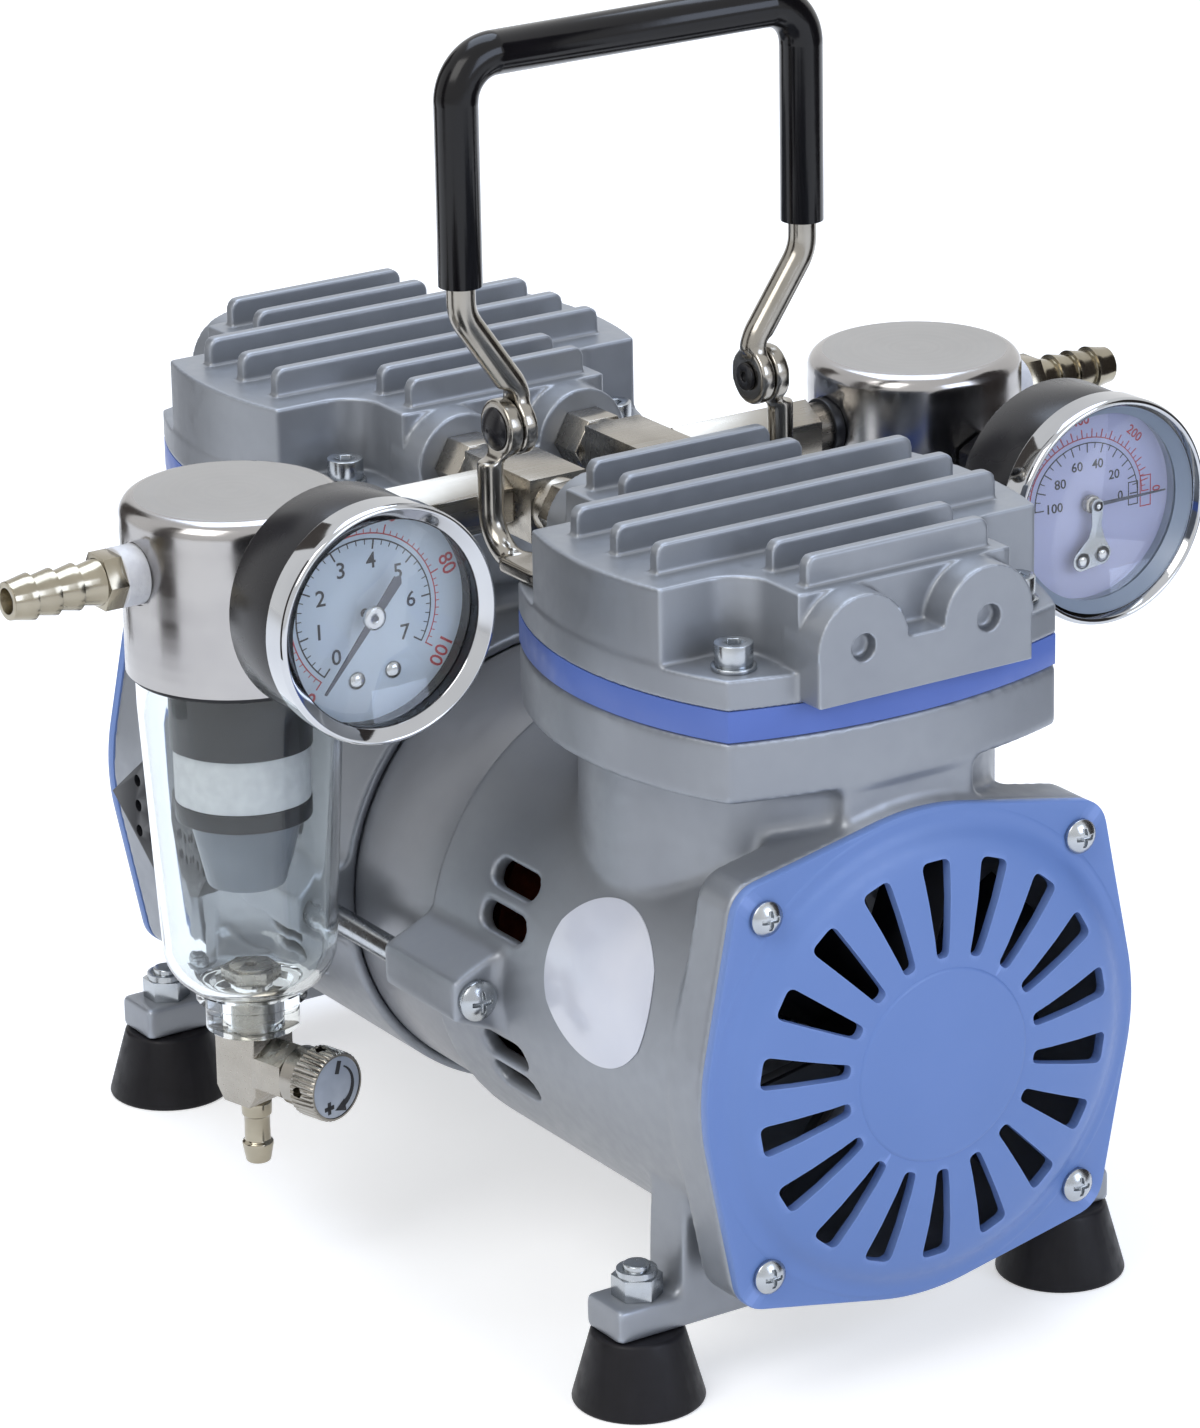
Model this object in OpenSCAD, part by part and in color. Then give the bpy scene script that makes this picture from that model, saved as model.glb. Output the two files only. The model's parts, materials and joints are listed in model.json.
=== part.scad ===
// Twin-head rocking-piston vacuum pump with two water traps and a carrying handle.
// Millimetres. X runs along the motor shaft, Z is up and the feet stand on z = 0.

/* [Motor and crankcases] */
// Height of the shaft axis above the floor
axis_z = 77.3; // [76.8:0.1:78]
// Distance from the middle of the pump to each cylinder centre line
cylinder_x = 80.5; // [80:0.1:81]
// Outer radius of each crankcase body
body_r = 57.5; // [57.2:0.1:58]
// Outer radius of the motor shell
shell_r = 54.5; // [54.2:0.1:54.8]
// Wall thickness of the motor shell
shell_wall = 1.7; // [1.4:0.1:2]
// Distance from the middle to the open edge of each crankcase
edge_x = 18; // [16:0.5:20]
// Distance from the middle to the rim that carries the fan cover
rim_x = 130.3; // [129.8:0.1:131]
// Length of the stator core
stator_length = 44; // [40:1:46]
// Radius of the rotor core
rotor_r = 30; // [28:0.5:31]
// Radius of the shaft
shaft_r = 6; // [5.5:0.1:6.4]
// Radial gap of every turning or sliding fit
fit = 0.05; // [0.03:0.01:0.08]
// Width of each cooling slot in the crankcase wall
vent_width = 6.2; // [5:0.1:6.6]

/* [Pistons] */
// Bore radius of each cylinder sleeve
bore_r = 25; // [24.5:0.1:25.4]
// Half of the piston stroke
crank_throw = 4; // [3:0.1:4.2]
// Outer radius of the big end of each connecting rod
big_end_r = 24; // [23:0.5:25]

/* [Heads] */
// Underside of the valve plates
plate_z = 156; // [155.8:0.1:157]
// Thickness of each valve plate
plate_height = 7; // [6:0.5:8]
// Half width of the head flange along X
flange_half_x = 48.8; // [48:0.1:49.2]
// Half width of the head flange along Y
flange_half_y = 53.8; // [53:0.1:54.5]
// Height of the head flange
flange_height = 7; // [6:0.5:8]
// Height of the head deck above the valve plate
deck_height = 24.5; // [24:0.1:25.5]
// Height of the fins above the deck
fin_height = 6.8; // [5:0.1:7]
// Thickness of each fin
fin_width = 3.2; // [2.6:0.1:3.8]

/* [Fan covers] */
// Radius of the flat hub of each fan cover
hub_r = 22.4; // [20:0.1:23]
// Distance from the middle to the hub face
hub_face_x = 140.5; // [140.2:0.1:141]
// Number of slots in each fan cover
slot_count = 18; // [12:1:18]
// Number of blades on each fan
blade_count = 9; // [5:1:11]

/* [Feet] */
// Radius of each rubber foot on the floor
foot_r = 15.2; // [14:0.1:16]
// Height of each rubber foot
foot_height = 17; // [16:0.5:18]
// Distance from the middle to the feet along X
foot_x = 105.7; // [105:0.1:106.4]
// Distance from the middle to the feet along Y
foot_y = 58.5; // [58:0.1:59.5]

/* [Handle] */
// Height of the handle pivots
pivot_z = 200; // [199.8:0.1:201]
// Distance along X from the middle to the handle plane
handle_x = 22; // [21.5:0.1:22.5]
// Height of the top bar of the handle
handle_top_z = 286; // [280:1:292]
// Radius of the handle rod
rod_r = 3.35; // [3:0.05:3.4]
// Radius of the handle sleeve
grip_r = 5; // [4.6:0.1:5.2]

/* [Traps and gauges] */
// Distance from the middle to the axis of each water trap
trap_y = 93.5; // [93:0.1:94.5]
// Radius of each trap cap
cap_r = 25.5; // [25.2:0.1:26]
// Top of the trap caps
cap_top_z = 190.5; // [188:0.5:192]
// Wall thickness of the clear bowls
bowl_wall = 2; // [1.6:0.1:2.4]
// Radius of the gauge bezels
bezel_r = 27.5; // [27.2:0.1:28]
// Height of the pressure gauge centre
pressure_z = 178; // [176:0.5:179]
// Height of the vacuum gauge centre
vacuum_z = 169; // [167:0.5:172]
// Turn of the drain knobs away from the X axis towards the pump
knob_turn = 15; // [0:1:20]
// Outer end of the hose barbs
barb_end_y = 151; // [149:0.5:153]

/* [Hidden] */
$fn = 96;

silver = [0.62, 0.63, 0.66];
blue = [0.42, 0.54, 0.80];
steel = [0.70, 0.70, 0.68];
nickel = [0.66, 0.63, 0.56];
black = [0.08, 0.08, 0.08];
copper = [0.72, 0.40, 0.22];
pale = [0.90, 0.92, 0.96];

skin = 0.02;
wall_r = body_r - 0.3;
cavity_r = shell_r - shell_wall + 0.2;
chamber_r = body_r - 5.5;
bearing_r = 14;
bearing_x = 58;
bearing_length = 8;
bulkhead_x = bearing_x - 1;
chamber_x = bearing_x + bearing_length;
ear_r = 8;
ear_offset = 42;
ear_distance = ear_offset * sqrt(2);
cover_flange = 2.7;
cover_screw_r = 2;

side_arc_r = 88.8;
end_arc_r = 133.3;
flange_bottom_z = plate_z - 14.5;
head_z = plate_z + plate_height;
flange_top_z = head_z + flange_height;
head_screw_r = 2.5;
screw_x = 35;
screw_y = 37.5;
pocket_r = 9.6;
port_y = 16.5;
port_z = head_z + 12.6;
port_reach = 53.6;
port_face_x = cylinder_x - port_reach;
thread_r = 5;
lug_height = 3.5;
washer_height = 1;

sleeve_r = bore_r + 2.5;
sleeve_bottom_z = plate_z - 22;
throat_r = bore_r - 1;
piston_r = bore_r - crank_throw - 0.4;
piston_top_z = plate_z - 0.8;
rod_center_z = axis_z + crank_throw;
disc_r = 12.5;
rod_bearing_r = 19;
rod_offset_x = -5;
rod_width = 10;

bar_bottom_z = foot_height;
bar_top_z = foot_height + 8;
bar_center_x = foot_x - 0.2;
tie_y = 63.5;
tie_r = 3;
boss_end_x = 49;

grip_y = 46;
grip_end_z = 235;
bend_r = 10;
eye_r = 6.75;
eye_y = 30.4;
eye_width = 3.6;
bracket_y = eye_y + eye_width + 0.3;
bracket_width = 3.7;
rivet_r = 2.4;

bar_half = 7.5;
manifold_z = port_z;
bar_end_x = 14;
hex_start_x = 17.5;
cap_bottom_z = 150;
bowl_top_r = 23.4;
bowl_low_r = 20;
bowl_neck_z = 62;
bowl_round_r = 12;
barb_z = 176;
stem_r = 5;

gauge_y = 94.5;
pressure_dial_x = 60.7;
vacuum_dial_x = 68;
case_r = 26;
drain_z = 53.3;
drain_half = 6.25;

// Repeats its children at the near end and the far end
module both_ends() {
    children();
    mirror([1, 0, 0]) children();
}

// Repeats its children on the left side and the right side
module both_sides() {
    children();
    mirror([0, 1, 0]) children();
}

// Stands upright shapes along X, starting at x
module along_x(x = 0, y = 0, z = axis_z) {
    translate([x, y, z]) rotate([0, 90, 0]) children();
}

// Stands upright shapes along +Y, starting at y
module along_y(y = 0, x = 0, z = 0) {
    translate([x, y, z]) rotate([-90, 0, 0]) children();
}

// Extrudes a Y-Z outline along X, from x over a width
module plate_x(x, width) {
    translate([x, 0, 0]) rotate([90, 0, 90]) linear_extrude(width) children();
}

// Extrudes an X-Z outline along Y, from y over a width
module plate_y(y, width) {
    translate([0, y + width, 0]) rotate([90, 0, 0]) linear_extrude(width) children();
}

// Round tube
module tube(outer, inner, height) {
    difference() {
        cylinder(r = outer, h = height);
        translate([0, 0, -1]) cylinder(r = inner, h = height + 2);
    }
}

// Hexagonal bar given across its flats
module hex_bar(flats, height) {
    cylinder(r = flats / 2 / cos(30), h = height, $fn = 6);
}

// Two round ends joined by their tangent lines
module tapered_link(length, start_r, end_r) {
    lean = acos((start_r - end_r) / length);
    side = [cos(lean), sin(lean)];
    other = [cos(lean), -sin(lean)];
    circle(start_r);
    translate([length, 0]) circle(end_r);
    polygon([
        start_r * side, [length, 0] + end_r * side,
        [length, 0] + end_r * other, start_r * other
    ]);
}

// Bend of a round rod in the Y-Z plane about a centre, between two angles from +Y
module yz_bend(center, start, sweep, radius) {
    translate([0, center[0], center[1]]) rotate([90, 0, 90]) rotate(start)
        rotate_extrude(angle = sweep) translate([bend_r, 0]) circle(radius);
}

// Straight round rod between two points in the Y-Z plane, let into the bends at both ends
module yz_rod(from, to, radius) {
    step = to - from;
    sunk = 0.3;
    translate([0, from[0], from[1]]) rotate([-atan2(step[0], step[1]), 0, 0])
        translate([0, 0, -sunk]) cylinder(r = radius - skin, h = norm(step) + 2 * sunk);
}

// Tapered slot with round ends that stand a little wider than its straight sides
module slot_outline(length, start_r, end_r) {
    waist = 0.12;
    circle(start_r);
    translate([length, 0]) circle(end_r);
    polygon([
        [0, start_r - waist], [length, end_r - waist],
        [length, waist - end_r], [0, waist - start_r]
    ]);
}

// Outline of a crankcase rim and its fan cover, seen along X
module cover_outline(inset = 0) {
    for (corner = [45 : 90 : 315])
        rotate(corner) tapered_link(ear_distance, body_r - inset, ear_r - inset);
}

// Outline of a head flange, seen from above
module flange_outline(inset = 0) {
    y_shift = side_arc_r - flange_half_y;
    x_shift = end_arc_r - flange_half_x;
    intersection() {
        translate([0, y_shift]) circle(side_arc_r - inset);
        translate([0, -y_shift]) circle(side_arc_r - inset);
        translate([x_shift, 0]) circle(end_arc_r - inset);
        translate([-x_shift, 0]) circle(end_arc_r - inset);
    }
}

// Places children at the four head screws of one head
module at_head_screws() {
    for (x = [-screw_x, screw_x], y = [-screw_y, screw_y])
        translate([cylinder_x + x, y, 0]) children();
}

// Places children at the four cover screws, standing along +X
module at_cover_screws(x) {
    for (corner = [45 : 90 : 315])
        translate([x, ear_distance * cos(corner), axis_z + ear_distance * sin(corner)])
            rotate([0, 90, 0]) children();
}

// Pan head with a cross recess, standing on z = 0
module pan_head(radius, height) {
    ball_r = radius * 1.35;
    difference() {
        intersection() {
            cylinder(r = radius, h = height);
            translate([0, 0, height - ball_r]) sphere(ball_r);
        }
        for (turn = [0, 90])
            rotate(turn) translate([-radius * 0.55, -0.5, height - 1.3])
                cube([radius * 1.1, 1, 2]);
    }
}

// One slot through the crankcase wall at an angle above the horizontal on the +Y side
module vent_slot(angle) {
    translate([0, 0, axis_z]) rotate([angle, 0, 0]) plate_y(body_r - 10, 15) {
        translate([41, -vent_width / 2]) square([12, vent_width]);
        for (x = [41, 53]) translate([x, 0]) circle(vent_width / 2);
    }
}

// Outside of one crankcase casting
module crankcase_outside() {
    along_x(edge_x) cylinder(r = wall_r, h = rim_x - edge_x);
    translate([0, 0, axis_z]) plate_x(rim_x - 12.3, 12.3) cover_outline();
    translate([cylinder_x, 0, axis_z]) cylinder(r = 46.5, h = flange_bottom_z - axis_z + 1);
    translate([cylinder_x, 0, flange_bottom_z])
        linear_extrude(plate_z - flange_bottom_z) flange_outline();
    translate([cylinder_x, -17.5, axis_z + 40])
        cube([rim_x - cylinder_x - 2.3, 35, flange_bottom_z - axis_z - 39]);
    // Bar that carries two feet, with a web up to the body
    translate([bar_center_x - 7, -67.5, bar_bottom_z]) cube([14, 135, 8]);
    plate_x(bar_center_x - 7, 14) polygon([
        [-51, bar_top_z - 2], [-50, axis_z - 22], [0, axis_z],
        [50, axis_z - 22], [51, bar_top_z - 2]
    ]);
    // Bosses for the tie rods
    both_sides() plate_x(edge_x, boss_end_x - edge_x) polygon([
        [54, axis_z + 10.7], [55.5, axis_z + 10.7], [69, axis_z + 4.7],
        [69, axis_z - 4.6], [55, axis_z - 10.7], [54, axis_z - 10.7]
    ]);
}

// One crankcase casting at the near end
module crankcase() {
    difference() {
        crankcase_outside();
        along_x(edge_x - 1) cylinder(r = shell_r + fit, h = 7);
        along_x(edge_x) cylinder(r = cavity_r, h = bulkhead_x - edge_x);
        along_x(bulkhead_x - 1) cylinder(r = 11, h = 4);
        along_x(bearing_x) cylinder(r = bearing_r + fit, h = bearing_length + 1);
        along_x(chamber_x) cylinder(r = chamber_r, h = rim_x);
        translate([cylinder_x, 0, sleeve_bottom_z]) cylinder(r = sleeve_r + fit, h = 40);
        // Opening from the crank chamber up to the sleeve
        intersection() {
            translate([cylinder_x, 0, axis_z]) cylinder(r = throat_r, h = 60);
            translate([chamber_x, -40, axis_z]) cube([60, 80, 70]);
        }
        at_head_screws() translate([0, 0, flange_bottom_z + 2])
            cylinder(r = head_screw_r + fit, h = 20);
        at_cover_screws(rim_x - 10) cylinder(r = cover_screw_r + fit, h = 20);
        both_sides() {
            for (angle = [26.7, 16.4, -15.5, -24.2]) vent_slot(angle);
            along_x(edge_x - 1, tie_y) cylinder(r = tie_r + 0.2, h = 60);
            translate([foot_x, foot_y, bar_bottom_z - 1]) cylinder(r = 3.3, h = 10);
        }
    }
}

// Direction of the cord gland, turned about the shaft axis below the right side
module at_gland() {
    translate([-48, 0, axis_z]) rotate([-60, 0, 0]) translate([0, wall_r, 0])
        rotate([-90, 0, 0]) children();
}

module near_crankcase() {
    color(silver) crankcase();
}

module far_crankcase() {
    color(silver) difference() {
        mirror([1, 0, 0]) crankcase();
        at_gland() translate([0, 0, -8]) cylinder(r = 5.2, h = 12);
        along_y(-body_r - 4, -89, axis_z) cylinder(r = 6, h = 12);
    }
}

module motor_shell() {
    color(silver) along_x(-24) tube(shell_r, shell_r - shell_wall, 48);
}

module label_band() {
    color(pale) along_x(0.3 - edge_x) tube(shell_r + 0.3, shell_r + skin, 2 * edge_x - 0.6);
}

// Slots of the stator core, grown by a clearance
module winding_bars(grow, reach) {
    for (turn = [0 : 30 : 330])
        along_x(-reach) rotate(turn) translate([rotor_r + 4, -2.5 - grow, 0])
            cube([10 + grow, 5 + 2 * grow, 2 * reach]);
}

module stator_core() {
    color(steel) difference() {
        along_x(-stator_length / 2)
            tube(shell_r - shell_wall - fit, rotor_r + 0.5, stator_length);
        winding_bars(0.05, stator_length);
    }
}

module windings() {
    color(copper) {
        winding_bars(0, stator_length / 2 + 1);
        both_ends() along_x(stator_length / 2 + 0.1) tube(48, rotor_r + 3, 11);
    }
}

module rotor_core() {
    color(steel) along_x(-stator_length / 2) tube(rotor_r, shaft_r + skin, stator_length);
}

module shaft() {
    color(steel) along_x(-122) cylinder(r = shaft_r, h = 244);
}

module shaft_bearings() {
    color(steel) both_ends()
        along_x(bearing_x) tube(bearing_r, shaft_r + fit, bearing_length);
}

// Eccentric disc with its counterweight; throw_z lifts the disc
module eccentric(throw_z) {
    difference() {
        union() {
            along_x(67.5) cylinder(r = 10, h = 7);
            along_x(74, 0, axis_z + throw_z) cylinder(r = disc_r, h = rod_width + 2);
            difference() {
                along_x(67.5) cylinder(r = 22, h = 6.5);
                translate([60, -30, axis_z - (throw_z > 0 ? 3 : 37)]) cube([20, 60, 40]);
            }
        }
        along_x(60) cylinder(r = shaft_r + skin, h = 40);
    }
}

module eccentrics() {
    color(steel) {
        eccentric(crank_throw);
        mirror([1, 0, 0]) eccentric(-crank_throw);
    }
}

// Connecting rod with its bearing and piston, drawn for the near end at the top of its stroke
module connecting_rod() {
    seal_z = piston_top_z - 3.5;
    difference() {
        union() {
            along_x(cylinder_x + rod_offset_x, 0, rod_center_z) cylinder(r = big_end_r, h = rod_width);
            translate([cylinder_x - 4, -7, rod_center_z + 20])
                cube([8, 14, seal_z - rod_center_z - 22]);
            translate([cylinder_x, 0, seal_z - 3]) cylinder(r = piston_r, h = 3);
            translate([cylinder_x, 0, seal_z - 1]) cylinder(r = 12 - fit, h = 3);
            translate([cylinder_x, 0, seal_z + 1]) cylinder(r = piston_r, h = 2.5);
        }
        along_x(cylinder_x + rod_offset_x - 1, 0, rod_center_z)
            cylinder(r = rod_bearing_r + skin, h = rod_width + 2);
        translate([cylinder_x, 0, piston_top_z - 1]) cylinder(r = 4, h = 3);
    }
    along_x(cylinder_x + rod_offset_x, 0, rod_center_z)
        tube(rod_bearing_r, disc_r + fit, rod_width);
}

// Cup seal clamped in the piston
module piston_seal() {
    translate([cylinder_x, 0, piston_top_z - 3.5]) {
        tube(bore_r - fit, 12, 1);
        tube(bore_r - fit, bore_r - 1.2, 3.2);
    }
}

module connecting_rod_near() {
    color(steel) connecting_rod();
}

module connecting_rod_far() {
    color(steel) mirror([1, 0, 0]) translate([0, 0, -2 * crank_throw]) connecting_rod();
}

module piston_seal_near() {
    color(black) piston_seal();
}

module piston_seal_far() {
    color(black) mirror([1, 0, 0]) translate([0, 0, -2 * crank_throw]) piston_seal();
}

module cylinder_sleeves() {
    color(steel) both_ends() translate([cylinder_x, 0, sleeve_bottom_z])
        tube(sleeve_r, bore_r, plate_z - sleeve_bottom_z);
}

module valve_plates() {
    color(blue) both_ends() difference() {
        translate([cylinder_x, 0, plate_z]) linear_extrude(plate_height) flange_outline();
        at_head_screws() translate([0, 0, plate_z - 1]) cylinder(r = 2.75, h = 12);
        for (x = [-6, 0, 6], y = [-12, 12])
            translate([cylinder_x + x, y, plate_z - 1]) cylinder(r = 1.8, h = 12);
    }
}

module reed_valves() {
    color(steel) both_ends() {
        translate([cylinder_x - 10, -16, head_z]) cube([20, 8, 0.4]);
        translate([cylinder_x - 10, 8, plate_z - 0.4]) cube([20, 8, 0.4]);
    }
}

// Recess round one head screw, open towards the corner
module corner_pocket() {
    translate([screw_x, screw_y]) circle(pocket_r);
    translate([screw_x - pocket_r, screw_y]) square(30);
    translate([screw_x, screw_y - pocket_r]) square(30);
}

// One cooling fin at an offset along X, with its two top corners rounded
module fin(offset_x, half_length) {
    round_r = 2.6;
    plate_x(offset_x - fin_width / 2, fin_width) {
        translate([-half_length, -1])
            square([2 * half_length, fin_height - round_r + 1]);
        translate([round_r - half_length, -1])
            square([2 * (half_length - round_r), fin_height + 1]);
        for (side = [-1, 1])
            translate([side * (half_length - round_r), fin_height - round_r]) circle(round_r);
    }
}

// One head casting at the near end
module head() {
    difference() {
        union() {
            translate([cylinder_x, 0, head_z]) {
                linear_extrude(flange_height) flange_outline();
                linear_extrude(deck_height) difference() {
                    intersection() {
                        flange_outline(0.25);
                        square([92, 120], center = true);
                    }
                    for (side = [0, 1], end = [0, 1])
                        mirror([0, side]) mirror([end, 0]) corner_pocket();
                }
                translate([0, 0, deck_height]) {
                    for (x = [-15.65, 0, 15.65]) fin(x, 45);
                    for (x = [-41.6, -28.8, 28.8, 41.6]) fin(x, 24);
                }
                // Port plates on both X faces
                for (x = [-port_reach, 40]) plate_x(x, port_reach - 40) {
                    translate([-28.2, 0.7]) square([56.4, 12]);
                    for (y = [-port_y, port_y])
                        translate([y, port_z - head_z]) circle(12 - 0.1);
                }
            }
        }
        at_head_screws() translate([0, 0, head_z - 1]) cylinder(r = 2.75, h = 20);
        // Inlet chamber and outlet chamber
        both_sides() translate([cylinder_x, 0, head_z - 1]) {
            translate([-38, 4, 0]) cube([76, 18, deck_height - 5]);
            translate([-20, 4, 0]) cube([40, 38, deck_height - 5]);
        }
        for (y = [-port_y, port_y]) {
            along_x(port_face_x - 1, y, port_z) cylinder(r = thread_r + fit, h = 17);
            along_x(cylinder_x + port_reach - 3, y, port_z) cylinder(r = 3, h = 5);
        }
    }
}

module near_head() {
    color(silver) head();
}

module far_head() {
    color(silver) mirror([1, 0, 0]) head();
}

// Places children on the seats of all head screws, at the height of each seat;
// the two inner screws of the near head sit on the lugs of the handle brackets
module at_seats() {
    both_ends() for (y = [-screw_y, screw_y])
        translate([cylinder_x + screw_x, y, flange_top_z]) children();
    for (y = [-screw_y, screw_y]) {
        translate([screw_x - cylinder_x, y, flange_top_z]) children();
        translate([cylinder_x - screw_x, y, flange_top_z + lug_height]) children();
    }
}

module head_screws() {
    grip = flange_top_z - flange_bottom_z - 6.5;
    color(steel) at_seats() difference() {
        union() {
            translate([0, 0, washer_height]) cylinder(r = 4.25, h = 5);
            translate([0, 0, -grip]) cylinder(r = head_screw_r, h = grip + washer_height + 1);
        }
        translate([0, 0, washer_height + 2.5]) hex_bar(4, 4);
    }
}

module head_washers() {
    color(steel) at_seats() tube(5, head_screw_r + 0.15, washer_height);
}

module fans() {
    color(black) both_ends() difference() {
        along_x(106) {
            cylinder(r = 12, h = 17);
            for (blade = [1 : blade_count])
                rotate(blade * 360 / blade_count) translate([11, 0, 8.5])
                    rotate([35, 0, 0]) translate([0, -0.8, -8]) cube([34, 1.6, 16]);
        }
        along_x(100) cylinder(r = shaft_r + skin, h = 30);
    }
}

// Height of the domed cover above its rim plane at a radius
function dome_at(radius) = hub_face_x - rim_x - 0.4
    - (radius * radius - hub_r * hub_r) / 2 / 204;

// Solid of revolution under the dome, moved inwards by an inset
module dome(edge_r, base, inset) {
    plateau_r = hub_r + 0.8;
    rings = [for (ring = [0 : 4]) plateau_r + ring * (edge_r - plateau_r) / 4];
    rotate_extrude() polygon(concat(
        [[0, base], [0, dome_at(plateau_r) - inset]],
        [for (radius = rings) [radius, dome_at(radius) - inset]],
        [[edge_r, base]]
    ));
}

// One fan cover at the near end
module fan_cover() {
    difference() {
        union() {
            translate([0, 0, axis_z]) plate_x(rim_x, cover_flange) cover_outline();
            along_x(rim_x) dome(55, 1, 0);
            along_x(rim_x + 5) cylinder(r = hub_r, h = hub_face_x - rim_x - 5);
        }
        along_x(rim_x) dome(52, -1, 2.5);
        translate([0, 0, axis_z]) plate_x(rim_x - 1, 20)
            for (slot = [1 : slot_count])
                rotate((slot + 0.5) * 360 / slot_count) translate([26.4, 0])
                    slot_outline(17.4, 1.4, 3.2);
        at_cover_screws(rim_x - 1) cylinder(r = cover_screw_r + 0.3, h = 8);
    }
}

module near_fan_cover() {
    color(blue) fan_cover();
}

module far_fan_cover() {
    color(blue) mirror([1, 0, 0]) fan_cover();
}

module cover_screws() {
    color(steel) both_ends() at_cover_screws(rim_x + cover_flange) {
        pan_head(4, 2.8);
        translate([0, 0, -11]) cylinder(r = cover_screw_r, h = 11.2);
    }
}

module tie_rods() {
    color(steel) both_sides() {
        along_x(-54, tie_y) cylinder(r = tie_r, h = 54 + boss_end_x + 0.2);
        along_x(boss_end_x, tie_y) pan_head(4.75, 3.6);
    }
}

module tie_rod_nuts() {
    color(steel) both_sides() along_x(-boss_end_x - 4, tie_y) difference() {
        hex_bar(8, 4);
        translate([0, 0, -1]) cylinder(r = tie_r + skin, h = 6);
    }
}

// Places children at the four feet
module at_feet() {
    both_ends() both_sides() translate([foot_x, foot_y, 0]) children();
}

module rubber_feet() {
    color(black) at_feet() difference() {
        cylinder(r1 = foot_r, r2 = 10.5, h = foot_height);
        translate([0, 0, 6]) cylinder(r = 3 + skin, h = 20);
        translate([0, 0, -1]) cylinder(r = 5, h = 4);
    }
}

module foot_studs() {
    color(steel) at_feet() translate([0, 0, 6]) cylinder(r = 3, h = bar_top_z + 1.6);
}

module foot_nuts() {
    color(steel) at_feet() translate([0, 0, bar_top_z]) difference() {
        union() {
            hex_bar(10, 5);
            cylinder(r = 4.6, h = 6.4);
        }
        translate([0, 0, -1]) cylinder(r = 3 + skin, h = 9);
    }
}

// Upper loop of the handle: top bar, two bends and two legs down to a height
module handle_loop(radius, end_z) {
    bend_y = grip_y - bend_r;
    bend_z = handle_top_z - bend_r;
    yz_rod([-bend_y, handle_top_z], [bend_y, handle_top_z], radius);
    both_sides() {
        yz_bend([bend_y, bend_z], 0, 90, radius);
        yz_rod([grip_y, end_z], [grip_y, bend_z], radius);
    }
}

// Lower part of one handle leg: two bends that bring it in over the pivot
module handle_jog() {
    lean = 35;
    rod_y = eye_y + eye_width / 2;
    start_z = pivot_z + 31;
    inward = [cos(lean), -sin(lean)];
    run = (grip_y - rod_y - 2 * bend_r * (1 - cos(lean))) / sin(lean);
    upper = [grip_y - bend_r, start_z];
    run_start = upper + bend_r * inward;
    run_end = run_start - run * [sin(lean), cos(lean)];
    lower = run_end + bend_r * inward;
    yz_bend(upper, -lean, lean, rod_r);
    yz_rod(run_start, run_end, rod_r);
    yz_bend(lower, 180 - lean, lean, rod_r);
    yz_rod([rod_y, lower[1]], [rod_y, pivot_z + 3], rod_r);
}

module handle_rod() {
    color(steel) translate([handle_x, 0, 0]) difference() {
        union() {
            handle_loop(rod_r, pivot_z + 31);
            both_sides() {
                handle_jog();
                along_y(eye_y, 0, pivot_z) cylinder(r = eye_r, h = eye_width);
            }
        }
        both_sides() {
            along_y(eye_y - 5, 0, pivot_z) cylinder(r = rivet_r + fit, h = 12);
            // Flat faces of the eye, so it turns beside the bracket
            translate([-8, eye_y + eye_width, pivot_z - 8]) cube([16, 4, 17]);
            translate([-8, eye_y - 4, pivot_z - 8]) cube([16, 4, 14]);
        }
    }
}

module handle_grip() {
    color(black) translate([handle_x, 0, 0]) difference() {
        handle_loop(grip_r, grip_end_z);
        handle_loop(rod_r + skin, grip_end_z - 1);
    }
}

module handle_rivets() {
    color(black) translate([handle_x, 0, pivot_z]) both_sides() {
        along_y(eye_y - 0.3, 0, 0) cylinder(r = rivet_r, h = bracket_y + bracket_width - eye_y + 0.5);
        along_y(eye_y - 1, 0, 0) tube(3.2, 1.2, 0.95);
        along_y(bracket_y + bracket_width, 0, 0) intersection() {
            cylinder(r = 5, h = 2.2);
            translate([0, 0, -5.2]) sphere(7.4);
        }
    }
}

module handle_brackets() {
    bend_z = flange_top_z + lug_height / 2 + bend_r;
    rod_y = 39.5;
    color(steel) both_sides() difference() {
        union() {
            along_y(bracket_y, handle_x, pivot_z) cylinder(r = eye_r, h = bracket_width);
            translate([handle_x, rod_y, bend_z]) cylinder(r = 3, h = pivot_z - bend_z - 4);
            translate([handle_x + bend_r, rod_y, bend_z]) rotate([90, 0, 0]) rotate(180)
                rotate_extrude(angle = 90) translate([bend_r, 0]) circle(3);
            translate([handle_x + bend_r - 0.5, rod_y - 4.5, flange_top_z])
                cube([cylinder_x - screw_x - handle_x - bend_r, 9, lug_height]);
            translate([cylinder_x - screw_x, screw_y, flange_top_z])
                cylinder(r = 6.2, h = lug_height);
        }
        along_y(bracket_y - 1, handle_x, pivot_z) cylinder(r = rivet_r + skin, h = 8);
        translate([handle_x - 8, bracket_y - 4, pivot_z - 12]) cube([16, 4, 24]);
        translate([handle_x - 8, bracket_y + bracket_width, pivot_z - 7]) cube([16, 5, 24]);
        translate([cylinder_x - screw_x, screw_y, flange_top_z - 1])
            cylinder(r = head_screw_r + 0.2, h = 10);
        translate([handle_x + 4, 20, flange_top_z - 8]) cube([40, 30, 8]);
    }
}

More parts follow.
